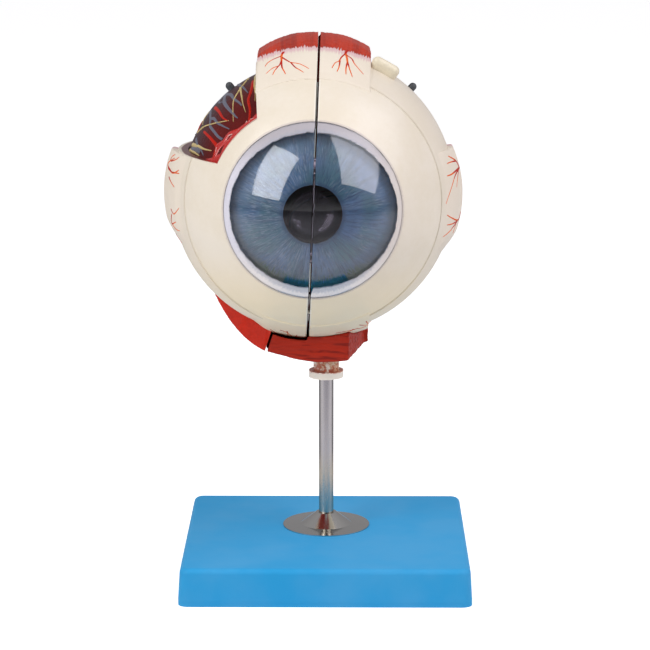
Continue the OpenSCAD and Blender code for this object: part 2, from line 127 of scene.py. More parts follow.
@dataclass(frozen=True)
class Eyeball:
    """The eyeball's own frame and the radii that the looks need, in millimetres."""

    centre: Vector
    roll: float = math.radians(2.3)
    yaw: float = math.radians(0.5)
    outer_r: float = 72.0
    step_polar: float = 63.0
    limbus_r: float = 43.7
    cornea_r: float = 43.6
    dome_r: float = 55.0
    dome_along: float = 23.27
    choroid_r: float = 66.6
    iris_r: float = 40.45
    pupil_r: float = 14.2
    half_gap: float = 0.6

    @classmethod
    def from_frame(cls) -> "Eyeball":
        """Finds the centre from the clear body, a ball that is cut off only at its front.

        Returns:
            The eyeball in its place over the stand.
        """
        low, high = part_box("vitreous_shell")
        ball_r = (high[0] - low[0]) / 2
        return cls(Vector(((low[0] + high[0]) / 2, high[1] - ball_r, (low[2] + high[2]) / 2)))

    @property
    def matrix(self) -> Matrix:
        """Turns eyeball millimetres into scene metres."""
        turn = Euler((0, self.roll, self.yaw)).to_matrix().to_4x4()
        return Matrix.Translation(self.centre) @ turn @ Matrix.Scale(MM, 4)

    def place(self, x: float, y: float, z: float) -> Vector:
        """Moves a point of the eyeball's frame to the scene."""
        return self.matrix @ Vector((x, y, z))

    def local(self, point: Vector) -> Vector:
        """Moves a point of the scene to the eyeball's frame."""
        return self.matrix.inverted() @ point

    def aim(self, azimuth: float, elevation: float) -> Vector:
        """Finds a direction out of the eyeball.

        Args:
            azimuth: Degrees round the vertical, from the right towards the back.
            elevation: Degrees above the level.

        Returns:
            The unit direction in the eyeball's frame.
        """
        turn, rise = math.radians(azimuth), math.radians(elevation)
        level = math.cos(rise)
        return Vector((level * math.cos(turn), level * math.sin(turn), math.sin(rise)))


@dataclass(frozen=True)
class PhotoCamera:
    """The camera that the photograph was taken with, as fitted to the base and the eyeball."""

    location: Vector = field(default_factory=lambda: Vector((0.00947, -1.2473, 0.3983)))
    pitch_down: float = math.radians(12.214)
    yaw: float = math.radians(0.46)
    focal_px: float = 2500.0
    frame_px: float = 650.0
    sensor_mm: float = 36.0
    near: float = 0.05
    far: float = 20.0

    @property
    def turn(self) -> Euler:
        """The camera's rotation."""
        return Euler((math.pi / 2 - self.pitch_down, 0, self.yaw))

    def ray(self, pixel: Pixel) -> Vector:
        """Finds the direction in which the camera sees a pixel.

        Args:
            pixel: Place in the photograph, from its top left corner.

        Returns:
            The unit direction in the scene.
        """
        half = self.frame_px / 2
        seen = Vector(((pixel[0] - half) / self.focal_px, (half - pixel[1]) / self.focal_px, -1))
        return (self.turn.to_matrix() @ seen).normalized()

    def build(self) -> None:
        """Adds the camera and makes it the scene's own."""
        data = bpy.data.cameras.new("photo_camera")
        data.sensor_width = self.sensor_mm
        data.lens = self.focal_px / self.frame_px * self.sensor_mm
        data.clip_start, data.clip_end = self.near, self.far
        camera = bpy.data.objects.new("photo_camera", data)
        camera.location = self.location
        camera.rotation_euler = self.turn
        bpy.context.scene.collection.objects.link(camera)
        bpy.context.scene.camera = camera

    def on_dome(self, pixel: Pixel, eye: Eyeball) -> Vector:
        """Finds the place on the clear dome that the camera sees at a pixel.

        Args:
            pixel: Place in the photograph.
            eye: The eyeball with the dome.

        Returns:
            The place in the scene.
        """
        ray = self.ray(pixel)
        offset = self.location - eye.place(0, -eye.dome_along, 0)
        reach = -ray.dot(offset)
        reach -= math.sqrt(reach * reach - offset.length_squared + (eye.dome_r * MM) ** 2)
        return self.location + ray * reach


# ---- Shader drawing ----


class ShaderSketch:
    """A node tree that is being drawn, with a short call for each kind of node it uses."""

    def __init__(self, tree: bpy.types.NodeTree) -> None:
        """Starts on an empty tree.

        Args:
            tree: The node tree of a material or a group.
        """
        self.tree = tree

    def node(self, kind: str, inputs: dict | None = None, **settings: object) -> bpy.types.Node:
        """Adds a node.

        Args:
            kind: The node's type name.
            inputs: Sockets to fill, by name or number, with a value or another socket.
            **settings: Attributes to set before the inputs are filled.

        Returns:
            The new node.
        """
        made = self.tree.nodes.new(kind)
        for name, value in settings.items():
            setattr(made, name, value)
        for key, value in (inputs or {}).items():
            self.fill(made.inputs[key], value)
        return made

    def fill(self, socket: bpy.types.NodeSocket, value: object) -> None:
        """Links a socket to another one, or gives it a value."""
        if isinstance(value, bpy.types.NodeSocket):
            self.tree.links.new(value, socket)
        else:
            socket.default_value = value

    def math(self, operation: str, *values: object, clamp: bool = False) -> bpy.types.NodeSocket:
        """Adds a math node and returns its output."""
        made = self.node(
            "ShaderNodeMath", dict(enumerate(values)), operation=operation, use_clamp=clamp
        )
        return made.outputs[0]

    def times(self, first: object, second: object) -> bpy.types.NodeSocket:
        """Returns the product of two values."""
        return self.math("MULTIPLY", first, second)

    def plus(self, first: object, second: object, clamp: bool = False) -> bpy.types.NodeSocket:
        """Returns the sum of two values."""
        return self.math("ADD", first, second, clamp=clamp)

    def minus(self, first: object, second: object) -> bpy.types.NodeSocket:
        """Returns the difference of two values."""
        return self.math("SUBTRACT", first, second)

    def vector(self, operation: str, *values: object) -> bpy.types.NodeSocket:
        """Adds a vector math node and returns its vector output."""
        made = self.node("ShaderNodeVectorMath", dict(enumerate(values)), operation=operation)
        return made.outputs[0]

    def mix(
        self, factor: object, first: object, second: object, blend: str = "MIX"
    ) -> bpy.types.NodeSocket:
        """Adds a colour mix node and returns its colour."""
        made = self.node("ShaderNodeMix", data_type="RGBA", blend_type=blend)
        for index, value in ((0, factor), (6, first), (7, second)):
            plain = isinstance(value, tuple) and len(value) == 3
            self.fill(made.inputs[index], (*value, 1.0) if plain else value)
        return made.outputs[2]

    def cover(self, under: object, over: object, mask: object, part: float) -> bpy.types.NodeSocket:
        """Lays a colour over another one where a mask is, at a part of its full strength."""
        return self.mix(self.times(mask, part), under, over)

    def noise(
        self,
        vector: object,
        scale: float,
        detail: float = 3.0,
        rough: float = 0.5,
        twist: float = 0.0,
    ) -> bpy.types.NodeSocket:
        """Adds a noise texture and returns its factor."""
        inputs = {
            "Vector": vector,
            "Scale": scale,
            "Detail": detail,
            "Roughness": rough,
            "Distortion": twist,
        }
        return self.node("ShaderNodeTexNoise", inputs).outputs["Fac"]

    def ramp(self, factor: object, low: object, high: object) -> bpy.types.NodeSocket:
        """Returns 0 where the factor is below low, 1 above high and a soft step between."""
        made = self.node(
            "ShaderNodeMapRange", {0: factor, 1: low, 2: high}, interpolation_type="SMOOTHSTEP"
        )
        return made.outputs[0]

    def split(self, vector: object) -> tuple[bpy.types.NodeSocket, ...]:
        """Returns the three parts of a vector."""
        return tuple(self.node("ShaderNodeSeparateXYZ", {0: vector}).outputs)

    def join(self, x: object, y: object, z: object) -> bpy.types.NodeSocket:
        """Returns a vector of three parts."""
        return self.node("ShaderNodeCombineXYZ", {0: x, 1: y, 2: z}).outputs[0]

    def object_place(self, size: float = 1.0) -> bpy.types.NodeSocket:
        """Returns the place on the piece, in units of size metres."""
        place = self.node("ShaderNodeTexCoord").outputs["Object"]
        inputs = {0: place, "Scale": 1 / size}
        return self.node("ShaderNodeVectorMath", inputs, operation="SCALE").outputs[0]

    def eye_place(self, eye: Eyeball) -> bpy.types.NodeSocket:
        """Returns the place on the piece in the eyeball's own frame, in millimetres."""
        place = self.node("ShaderNodeTexCoord").outputs["Object"]
        inputs = {0: place, 1: tuple(eye.centre), 2: (0.0, eye.roll, eye.yaw), 3: (MM, MM, MM)}
        return self.node("ShaderNodeMapping", inputs, vector_type="TEXTURE").outputs[0]

    def use(self, group: bpy.types.NodeTree, inputs: dict) -> bpy.types.Node:
        """Adds a node group and fills its inputs."""
        made = self.tree.nodes.new("ShaderNodeGroup")
        made.node_tree = group
        for key, value in inputs.items():
            self.fill(made.inputs[key], value)
        return made

    def bump(self, height: object, distance: float, strength: float = 1.0) -> bpy.types.NodeSocket:
        """Adds a bump node and returns its normal."""
        inputs = {"Height": height, "Distance": distance, "Strength": strength}
        return self.node("ShaderNodeBump", inputs).outputs[0]


@dataclass(frozen=True)
class Effect:
    """A shader node group that several materials use."""

    name: str
    inputs: tuple[tuple[str, str, object], ...]
    outputs: tuple[tuple[str, str], ...]
    draw: Callable[[ShaderSketch, dict], dict]

    def tree(self) -> bpy.types.NodeTree:
        """Builds the group, or finds it where it is already built.

        Returns:
            The group's node tree.
        """
        if self.name in bpy.data.node_groups:
            return bpy.data.node_groups[self.name]
        tree = bpy.data.node_groups.new(self.name, "ShaderNodeTree")
        for name, kind, value in self.inputs:
            socket = tree.interface.new_socket(name=name, in_out="INPUT", socket_type=kind)
            if value is not None:
                socket.default_value = value
        for name, kind in self.outputs:
            tree.interface.new_socket(name=name, in_out="OUTPUT", socket_type=kind)
        sketch = ShaderSketch(tree)
        entry = tree.nodes.new("NodeGroupInput")
        leave = tree.nodes.new("NodeGroupOutput")
        given = {socket.name: socket for socket in entry.outputs if socket.name}
        results = self.draw(sketch, given)
        for name, socket in results.items():
            tree.links.new(socket, leave.inputs[name])
        return tree


def draw_polar(sketch: ShaderSketch, given: dict) -> dict:
    """Splits an eyeball place into distances and the angle from the gaze, in degrees."""
    x, y, z = sketch.split(given["Place"])
    across = sketch.math("SQRT", sketch.plus(sketch.times(x, x), sketch.times(z, z)))
    along = sketch.times(y, -1.0)
    angle = sketch.math("DEGREES", sketch.math("ARCTAN2", across, along))
    return {"Across": across, "Along": along, "Angle": angle}


def draw_rays(sketch: ShaderSketch, given: dict) -> dict:
    """Noise drawn out into rays round the gaze, without a seam."""
    x, _, z = sketch.split(given["Place"])
    across = sketch.math("SQRT", sketch.plus(sketch.times(x, x), sketch.times(z, z)))
    safe = sketch.math("MAXIMUM", across, 0.01)
    rays = [sketch.times(sketch.math("DIVIDE", part, safe), given["Rays"]) for part in (x, z)]
    wander = sketch.times(across, given["Wander"])
    mask = sketch.noise(sketch.join(rays[0], rays[1], wander), 1.0, 3.0, 0.55, 0.3)
    return {"Mask": mask}


def draw_ragged(sketch: ShaderSketch, given: dict) -> dict:
    """A soft step of a value at an edge that wanders with the paint's brush strokes."""
    wander = sketch.minus(given["Noise"], 0.5)
    value = sketch.plus(given["Value"], sketch.times(wander, given["Raggedness"]))
    high = sketch.plus(given["Edge"], given["Width"])
    return {"Mask": sketch.ramp(value, given["Edge"], high)}


def draw_mottle(sketch: ShaderSketch, given: dict) -> dict:
    """Slow changes of tone in hand-mixed paint, with a finer second layer."""
    slow = sketch.noise(given["Place"], 0.035, 2.0)
    fine = sketch.noise(given["Place"], 0.35, 4.0, 0.6)
    both = sketch.plus(sketch.times(slow, 0.7), sketch.times(fine, 0.3))
    return {"Mask": sketch.ramp(both, 0.32, 0.68)}


PLACE_IN = ("Place", "NodeSocketVector", None)
EYE_POLAR = Effect(
    "eye polar",
    (PLACE_IN,),
    (("Across", "NodeSocketFloat"), ("Along", "NodeSocketFloat"), ("Angle", "NodeSocketFloat")),
    draw_polar,
)
RAYS = Effect(
    "radial rays",
    (PLACE_IN, ("Rays", "NodeSocketFloat", 20.0), ("Wander", "NodeSocketFloat", 0.05)),
    (("Mask", "NodeSocketFloat"),),
    draw_rays,
)
RAGGED = Effect(
    "ragged edge",
    (
        ("Value", "NodeSocketFloat", 0.0),
        ("Edge", "NodeSocketFloat", 0.0),
        ("Width", "NodeSocketFloat", 1.0),
        ("Noise", "NodeSocketFloat", 0.5),
        ("Raggedness", "NodeSocketFloat", 1.0),
    ),
    (("Mask", "NodeSocketFloat"),),
    draw_ragged,
)
MOTTLE = Effect("paint mottle", (PLACE_IN,), (("Mask", "NodeSocketFloat"),), draw_mottle)


def add_polar(sketch: ShaderSketch, place: object) -> bpy.types.bpy_prop_collection:
    """Adds the eyeball's distances and angle and returns the three outputs."""
    return sketch.use(EYE_POLAR.tree(), {"Place": place}).outputs


def add_mottle(sketch: ShaderSketch, place: object) -> bpy.types.NodeSocket:
    """Adds the paint's slow changes of tone and returns their mask."""
    return sketch.use(MOTTLE.tree(), {"Place": place}).outputs["Mask"]


def add_rays(
    sketch: ShaderSketch, place: object, count: float, wander: float
) -> bpy.types.NodeSocket:
    """Adds rays round the gaze and returns their mask.

    Args:
        sketch: The material's tree.
        place: The place in the eyeball's frame.
        count: Rays to a radian, about.
        wander: How fast a ray changes along its way.

    Returns:
        The mask.
    """
    inputs = {"Place": place, "Rays": count, "Wander": wander}
    return sketch.use(RAYS.tree(), inputs).outputs["Mask"]


def add_ragged(
    sketch: ShaderSketch, value: object, edge: float, width: float, grain: object, raggedness: float
) -> bpy.types.NodeSocket:
    """Adds a soft step at a ragged edge and returns its mask.

    Args:
        sketch: The material's tree.
        value: The value that steps.
        edge: The value at which the step starts.
        width: The step's width, below 0 for a step down.
        grain: The noise that the edge wanders with.
        raggedness: How far it wanders.

    Returns:
        The mask.
    """
    inputs = {
        "Value": value,
        "Edge": edge,
        "Width": width,
        "Noise": grain,
        "Raggedness": raggedness,
    }
    return sketch.use(RAGGED.tree(), inputs).outputs["Mask"]


@dataclass(frozen=True)
class Finish:
    """A finish: plain sockets of the shader, and paint that a subclass draws over them."""

    name: str
    color: Rgb
    roughness: float = 0.4
    metallic: float = 0.0
    coat: float = 0.0
    coat_roughness: float = 0.05
    specular: float = 0.5

    def build(self, eye: Eyeball) -> bpy.types.Material:
        """Builds the material, or finds it where it is already built.

        Args:
            eye: The eyeball whose frame the paint follows.

        Returns:
            The material.
        """
        label = f"finish_{self.name}"
        if label in bpy.data.materials:
            return bpy.data.materials[label]
        material = bpy.data.materials.new(label)
        material.use_nodes = True
        material.diffuse_color = (*self.color, 1.0)
        shader = material.node_tree.nodes["Principled BSDF"]
        shader.inputs["Base Color"].default_value = (*self.color, 1.0)
        shader.inputs["Roughness"].default_value = self.roughness
        shader.inputs["Metallic"].default_value = self.metallic
        shader.inputs["Specular IOR Level"].default_value = self.specular
        shader.inputs["Coat Weight"].default_value = self.coat
        shader.inputs["Coat Roughness"].default_value = self.coat_roughness
        self.paint(ShaderSketch(material.node_tree), shader, eye)
        return material

    def paint(self, sketch: ShaderSketch, shader: bpy.types.Node, eye: Eyeball) -> None:
        """Draws a fine grain, for finishes that have no paint of their own.

        Args:
            sketch: The material's tree.
            shader: The material's shader.
            eye: Not used here; the subclasses' paint follows the eyeball's frame.
        """
        grain = sketch.noise(sketch.object_place(MM), 0.8, 4.0, 0.6)
        self.vary_gloss(sketch, shader, grain, 0.12)
        tone = sketch.mix(sketch.ramp(grain, 0.3, 0.7), self.color, shaded(self.color, 0.9))
        sketch.fill(shader.inputs["Base Color"], tone)

    def vary_gloss(
        self,
        sketch: ShaderSketch,
        shader: bpy.types.Node,
        grain: object,
        amount: float,
        middle: float = 0.5,
    ) -> None:
        """Lets the roughness wander with a grain.

        Args:
            sketch: The material's tree.
            shader: The material's shader.
            grain: The grain, from 0 to 1.
            amount: Change of the roughness over the whole of the grain.
            middle: The grain at which the roughness is the finish's own.
        """
        spread = sketch.times(sketch.minus(grain, middle), amount)
        rough = sketch.plus(spread, self.roughness, clamp=True)
        sketch.fill(shader.inputs["Roughness"], rough)


@dataclass(frozen=True)
class WhiteCoat(Finish):
    """Cream coat paint, paler at the saw cut, warmer below and lined at the limbus. Painted shade
    darkens the coat's step, the ball's sides behind it and the sawn faces.

    The zones are distances or angles over which one tone goes over into the next: in millimetres
    below the middle, from the saw cut and from the coat's faces, and in degrees from the gaze.
    """

    low_tone: Rgb = (0.98, 0.82, 0.55)
    mottle_tone: Rgb = (0.72, 0.63, 0.48)
    step_tone: Rgb = (0.52, 0.44, 0.32)
    side_tone: Rgb = (0.74, 0.65, 0.53)
    cut_tone: Rgb = (0.93, 0.89, 0.83)
    line_tone: Rgb = (0.40, 0.33, 0.36)
    wall_tone: Rgb = (0.11, 0.012, 0.010)
    wall_red: Rgb = (0.50, 0.016, 0.010)
    sawn_tone: Rgb = (0.24, 0.20, 0.155)
    inner_tone: Rgb = (0.62, 0.57, 0.47)
    low_zone: Pair = (18.0, 60.0)
    step_zone: Pair = (1.1, 0.2)
    side_zone: Pair = (-0.5, 2.0)
    front_zone: Pair = (50.0, 52.0)
    wall_zone: Pair = (-1.5, -1.0)
    red_zone: Pair = (58.0, 54.0)
    window_zone: Pair = (-20.0, -19.0)
    cut_zone: Pair = (0.9, 1.5)
    sawn_zone: Pair = (0.02, 0.08)
    inner_zone: Pair = (1.2, 2.2)

    def paint(self, sketch: ShaderSketch, shader: bpy.types.Node, eye: Eyeball) -> None:
        """Draws the coat.

        Args:
            sketch: The material's tree.
            shader: The material's shader.
            eye: The eyeball whose frame the paint follows.
        """
        place = sketch.eye_place(eye)
        polar = add_polar(sketch, place)
        mottle = add_mottle(sketch, place)
        x, _, z = sketch.split(place)
        tone = sketch.cover(self.color, self.mottle_tone, mottle, 0.45)
        low = sketch.ramp(sketch.times(z, -1.0), *self.low_zone)
        tone = sketch.cover(tone, self.low_tone, low, 0.9)
        # painted shade along the coat's step, stronger below where the step faces the light
        step = sketch.math("ABSOLUTE", sketch.minus(polar["Angle"], eye.step_polar))
        strength = sketch.plus(sketch.times(low, 0.45), 0.2)
        step = sketch.times(sketch.ramp(step, *self.step_zone), strength)
        tone = sketch.mix(step, tone, self.step_tone)
        # painted shade on the ball's sides behind the step
        side = sketch.ramp(polar["Angle"], *shifted(self.side_zone, eye.step_polar))
        tone = sketch.cover(tone, self.side_tone, side, 0.35)
        streak = sketch.noise(place, 0.9, 4.0, 0.6)
        line = add_ragged(sketch, polar["Across"], eye.limbus_r + 1.1, -0.7, streak, 0.9)
        line = sketch.times(line, sketch.ramp(polar["Along"], *self.front_zone))
        tone = sketch.cover(tone, self.line_tone, line, 0.4)
        distance = sketch.node("ShaderNodeVectorMath", {0: place}, operation="LENGTH")
        distance = distance.outputs["Value"]
        uneven = sketch.times(sketch.minus(mottle, 0.5), 0.8)
        depth = sketch.plus(distance, uneven)
        wall = sketch.ramp(depth, *shifted(self.wall_zone, eye.outer_r))
        wall = sketch.minus(1.0, wall)
        near = sketch.ramp(polar["Angle"], *self.red_zone)
        near = sketch.times(near, sketch.ramp(mottle, 0.3, 0.5))
        wall_paint = sketch.mix(near, self.wall_tone, self.wall_red)
        from_cut = sketch.math("ABSOLUTE", x)
        behind = sketch.ramp(polar["Angle"], *shifted(self.window_zone, eye.step_polar))
        faced = sketch.node("ShaderNodeNewGeometry").outputs["Normal"]
        outward = sketch.vector("NORMALIZE", place)
        facing = sketch.node(
            "ShaderNodeVectorMath", {0: faced, 1: outward}, operation="DOT_PRODUCT"
        )
        facing = sketch.ramp(sketch.math("ABSOLUTE", facing.outputs["Value"]), 0.5, 0.8)
        behind = sketch.times(behind, sketch.minus(1.0, facing))
        tone = sketch.mix(sketch.times(wall, behind), tone, wall_paint)
        cut = sketch.minus(1.0, sketch.ramp(from_cut, *self.cut_zone))
        tone = sketch.cover(tone, self.cut_tone, cut, 0.5)
        # painted shade on the sawn faces, which stand in the narrow dark gap between the halves
        sawn = sketch.ramp(from_cut, *shifted(self.sawn_zone, eye.half_gap))
        tone = sketch.mix(sketch.minus(1.0, sawn), tone, self.sawn_tone)
        inside = sketch.ramp(distance, *shifted(self.inner_zone, eye.choroid_r))
        inside = sketch.minus(1.0, inside)
        tone = sketch.mix(sketch.times(inside, facing), tone, self.inner_tone)
        sketch.fill(shader.inputs["Base Color"], tone)
        self.vary_gloss(sketch, shader, streak, 0.15)
        sketch.fill(shader.inputs["Normal"], sketch.bump(streak, 0.00006))


@dataclass(frozen=True)
class MusclePaint(Finish):
    """Cream coat paint that turns into torn red fibres towards a muscle's cut end."""

    red_tone: Rgb = (0.50, 0.034, 0.012)
    dark_tone: Rgb = (0.30, 0.020, 0.009)
    light_tone: Rgb = (0.66, 0.075, 0.028)
    fringe_tone: Rgb = (0.66, 0.40, 0.44)
    red_angle: float = 84.0
    red_width: float = 0.8
    fringe: float = 5.2
    fringe_width: float = 3.5
    ragged: float = 9.5
    shade_tone: Rgb = (0.72, 0.63, 0.51)
    front_tone: Rgb | None = None
    front_zone: Pair = (66.0, 78.0)

    def paint(self, sketch: ShaderSketch, shader: bpy.types.Node, eye: Eyeball) -> None:
        """Draws the muscle.

        Args:
            sketch: The material's tree.
            shader: The material's shader.
            eye: The eyeball whose frame the paint follows.
        """
        place = sketch.eye_place(eye)
        polar = add_polar(sketch, place)
        mottle = add_mottle(sketch, place)
        fine = add_rays(sketch, place, 105.0, 0.03)
        broad = add_rays(sketch, place, 14.0, 0.02)
        tone = sketch.cover(self.color, self.shade_tone, mottle, 0.4)
        if self.front_tone:
            tone = sketch.mix(sketch.ramp(polar["Angle"], *self.front_zone), self.front_tone, tone)
        angle, start = polar["Angle"], self.red_angle - self.fringe
        fringe = add_ragged(sketch, angle, start, self.fringe_width, fine, self.ragged)
        tone = sketch.cover(tone, self.fringe_tone, fringe, 0.75)
        red = add_ragged(sketch, angle, self.red_angle, self.red_width, fine, self.ragged)
        flesh = sketch.mix(sketch.ramp(broad, 0.35, 0.7), self.red_tone, self.dark_tone)
        flesh = sketch.cover(flesh, self.light_tone, sketch.ramp(fine, 0.52, 0.75), 0.4)
        tone = sketch.mix(red, tone, flesh)
        sketch.fill(shader.inputs["Base Color"], tone)
        height = sketch.times(fine, red)
        sketch.fill(shader.inputs["Normal"], sketch.bump(height, 0.0004))


@dataclass(frozen=True)
class FleshPaint(Finish):
    """Red muscle paint with streaks along the muscle."""

    streak_tone: Rgb = (0.20, 0.012, 0.008)
    streaks: float = 0.8
    turn: float = 0.0
    stretch: tuple[float, float, float] = (0.05, 0.55, 0.55)

    def paint(self, sketch: ShaderSketch, shader: bpy.types.Node, eye: Eyeball) -> None:
        """Draws the muscle.

        Args:
            sketch: The material's tree.
            shader: The material's shader.
            eye: The eyeball whose frame the paint follows.
        """
        place = sketch.eye_place(eye)
        inputs = {0: place, 2: (0.0, 0.0, -self.turn), 3: self.stretch}
        drawn = sketch.node("ShaderNodeMapping", inputs).outputs[0]
        streak = sketch.noise(drawn, 1.0, 3.0, 0.6, 0.2)
        mottle = add_mottle(sketch, place)
        tone = sketch.cover(self.color, self.streak_tone, mottle, 0.3)
        mask = sketch.times(sketch.ramp(streak, 0.52, 0.66), self.streaks)
        tone = sketch.mix(mask, tone, self.streak_tone)
        sketch.fill(shader.inputs["Base Color"], tone)
        self.vary_gloss(sketch, shader, streak, 0.2)
        sketch.fill(shader.inputs["Normal"], sketch.bump(streak, 0.0003, 0.3 + self.streaks / 2))


@dataclass(frozen=True)
class IrisPaint(Finish):
    """Painted iris: steel blue rays, teal towards the middle, pale flecks and a green lower rim."""

    dark_tone: Rgb = (0.042, 0.095, 0.20)
    teal_tone: Rgb = (0.065, 0.205, 0.26)
    fleck_tone: Rgb = (0.38, 0.50, 0.68)
    green_tone: Rgb = (0.055, 0.19, 0.09)
    rim_tone: Rgb = (0.24, 0.40, 0.68)
    back_tone: Rgb = (0.06, 0.022, 0.016)
    left_zone: Pair = (-6.0, 14.0)
    fan_zone: Pair = (4.0, 22.0)
    low_zone: Pair = (22.0, 30.0)
    rim_start: float = 29.0
    green_start: float = 33.0
    pupil_rim: float = 2.6

    def paint(self, sketch: ShaderSketch, shader: bpy.types.Node, eye: Eyeball) -> None:
        """Draws the iris.

        Args:
            sketch: The material's tree.
            shader: The material's shader.
            eye: The eyeball whose frame the paint follows.
        """
        place = sketch.eye_place(eye)
        polar = add_polar(sketch, place)
        x, _, z = sketch.split(place)
        across = polar["Across"]
        broad = add_rays(sketch, place, 9.0, 0.04)
        fine = add_rays(sketch, place, 30.0, 0.16)
        hair = add_rays(sketch, place, 62.0, 0.30)
        slow = sketch.noise(place, 0.05, 2.0)
        teal = sketch.times(sketch.ramp(slow, 0.4, 0.62), 0.8)
        tone = sketch.mix(teal, self.color, self.teal_tone)
        tone = sketch.cover(tone, self.dark_tone, sketch.ramp(broad, 0.45, 0.7), 0.5)
        tone = sketch.cover(tone, self.dark_tone, sketch.ramp(fine, 0.5, 0.62), 0.6)
        cloud = sketch.noise(sketch.vector("ADD", place, (31.0, 7.0, 5.0)), 0.07, 2.0)
        left = sketch.ramp(sketch.times(x, -1.0), *self.left_zone)
        left = sketch.times(left, 0.16)
        patch = sketch.ramp(sketch.plus(cloud, left), 0.46, 0.64)
        fleck = sketch.times(sketch.ramp(hair, 0.52, 0.62), patch)
        tone = sketch.cover(tone, self.fleck_tone, fleck, 0.6)
        pale = sketch.ramp(add_rays(sketch, place, 44.0, 0.05), 0.54, 0.66)
        fan = sketch.minus(sketch.times(z, -1.0), x)
        pale = sketch.times(pale, sketch.ramp(fan, *self.fan_zone))
        tone = sketch.cover(tone, self.fleck_tone, pale, 0.32)
        # painted light: a lighter blue towards the border lifts the shadow that the ring and the
        # coat cast on the iris
        shade = sketch.times(sketch.ramp(across, self.rim_start, eye.iris_r), 0.7)
        tone = sketch.mix(shade, tone, self.rim_tone)
        low = sketch.ramp(sketch.times(z, -1.0), *self.low_zone)
        green = add_ragged(sketch, across, self.green_start, 2.5, hair, 14.0)
        green = sketch.times(green, low)
        tone = sketch.cover(tone, self.green_tone, green, 0.95)
        rim = add_ragged(sketch, across, eye.pupil_r + self.pupil_rim, -2.2, fine, 2.0)
        tone = sketch.cover(tone, self.dark_tone, rim, 0.75)
        back = sketch.node("ShaderNodeNewGeometry").outputs["Normal"]
        forward = sketch.times(sketch.split(back)[1], -1.0)
        tone = sketch.mix(sketch.ramp(forward, -0.1, 0.1), self.back_tone, tone)
        sketch.fill(shader.inputs["Base Color"], tone)
        height = sketch.plus(sketch.times(fine, 0.6), sketch.times(hair, 0.4))
        sketch.fill(shader.inputs["Normal"], sketch.bump(height, 0.0006, 0.8))


@dataclass(frozen=True)
class CoatPaint(Finish):
    """Vascular coat or retina paint, shaded slowly between two tones and to a third one behind."""

    second_tone: Rgb = (0.20, 0.02, 0.015)
    rear_tone: Rgb | None = None
    rear_slant: float = 0.6
    rear_zone: Pair = (-26.0, 6.0)
    grain: float = 0.5

    def paint(self, sketch: ShaderSketch, shader: bpy.types.Node, eye: Eyeball) -> None:
        """Draws the coat.

        Args:
            sketch: The material's tree.
            shader: The material's shader.
            eye: The eyeball whose frame the paint follows.
        """
        place = sketch.eye_place(eye)
        mottle = add_mottle(sketch, place)
        tone = sketch.mix(mottle, self.color, self.second_tone)
        if self.rear_tone:
            x, y, _ = sketch.split(place)
            front = sketch.minus(sketch.times(x, self.rear_slant), y)
            tone = sketch.mix(sketch.ramp(front, *self.rear_zone), self.rear_tone, tone)
        fine = sketch.noise(place, self.grain, 5.0, 0.65)
        tone = sketch.cover(tone, self.color, sketch.ramp(fine, 0.5, 0.7), 0.3)
        sketch.fill(shader.inputs["Base Color"], tone)
        sketch.fill(shader.inputs["Normal"], sketch.bump(fine, 0.00025))


@dataclass(frozen=True)
class RingPaint(Finish):
    """Paint on the dome's border, bluish on the left, cream on the right and below."""

    cream_tone: Rgb = (0.72, 0.65, 0.61)
    top_tone: Rgb = (0.44, 0.41, 0.44)
    low_tone: Rgb = (0.95, 0.88, 0.84)
    thin_tone: Rgb = (0.34, 0.36, 0.44)
    patchiness: float = 60.0
    right_zone: Pair = (-22.0, 24.0)
    top_zone: Pair = (14.0, 38.0)
    low_zone: Pair = (14.0, 40.0)
    thin_part: float = 2.4

    def paint(self, sketch: ShaderSketch, shader: bpy.types.Node, eye: Eyeball) -> None:
        """Draws the ring.

        Args:
            sketch: The material's tree.
            shader: The material's shader.
            eye: The eyeball whose frame the paint follows.
        """
        place = sketch.eye_place(eye)
        x, _, z = sketch.split(place)
        across = add_polar(sketch, place)["Across"]
        brushed = add_rays(sketch, place, 36.0, 0.5)
        patch = sketch.noise(place, 0.06, 2.0)
        right = sketch.plus(sketch.times(x, 0.8), sketch.times(z, -0.5))
        uneven = sketch.times(sketch.minus(patch, 0.5), self.patchiness)
        right = sketch.plus(right, uneven)
        tone = sketch.mix(sketch.ramp(right, *self.right_zone), self.color, self.cream_tone)
        tone = sketch.mix(sketch.ramp(z, *self.top_zone), tone, self.top_tone)
        low = sketch.ramp(sketch.times(z, -1.0), *self.low_zone)
        tone = sketch.mix(low, tone, self.low_tone)
        thin = add_ragged(sketch, across, eye.limbus_r - self.thin_part, -2.2, brushed, 3.4)
        tone = sketch.cover(tone, self.thin_tone, thin, 0.55)
        sketch.fill(shader.inputs["Base Color"], tone)
        sketch.fill(shader.inputs["Normal"], sketch.bump(brushed, 0.0002))


@dataclass(frozen=True)
class ClearCast(Finish):
    """Clear cast plastic with faint handling marks."""

    ior: float = 1.46

    def paint(self, sketch: ShaderSketch, shader: bpy.types.Node, eye: Eyeball) -> None:
        """Makes the shader clear and marks its gloss.

        Args:
            sketch: The material's tree.
            shader: The material's shader.
            eye: The eyeball whose frame the paint follows.
        """
        shader.inputs["Transmission Weight"].default_value = 1.0
        shader.inputs["IOR"].default_value = self.ior
        marks = sketch.noise(sketch.eye_place(eye), 0.25, 4.0, 0.6)
        haze = sketch.times(sketch.ramp(marks, 0.55, 0.8), 0.05)
        sketch.fill(shader.inputs["Roughness"], sketch.plus(haze, self.roughness))


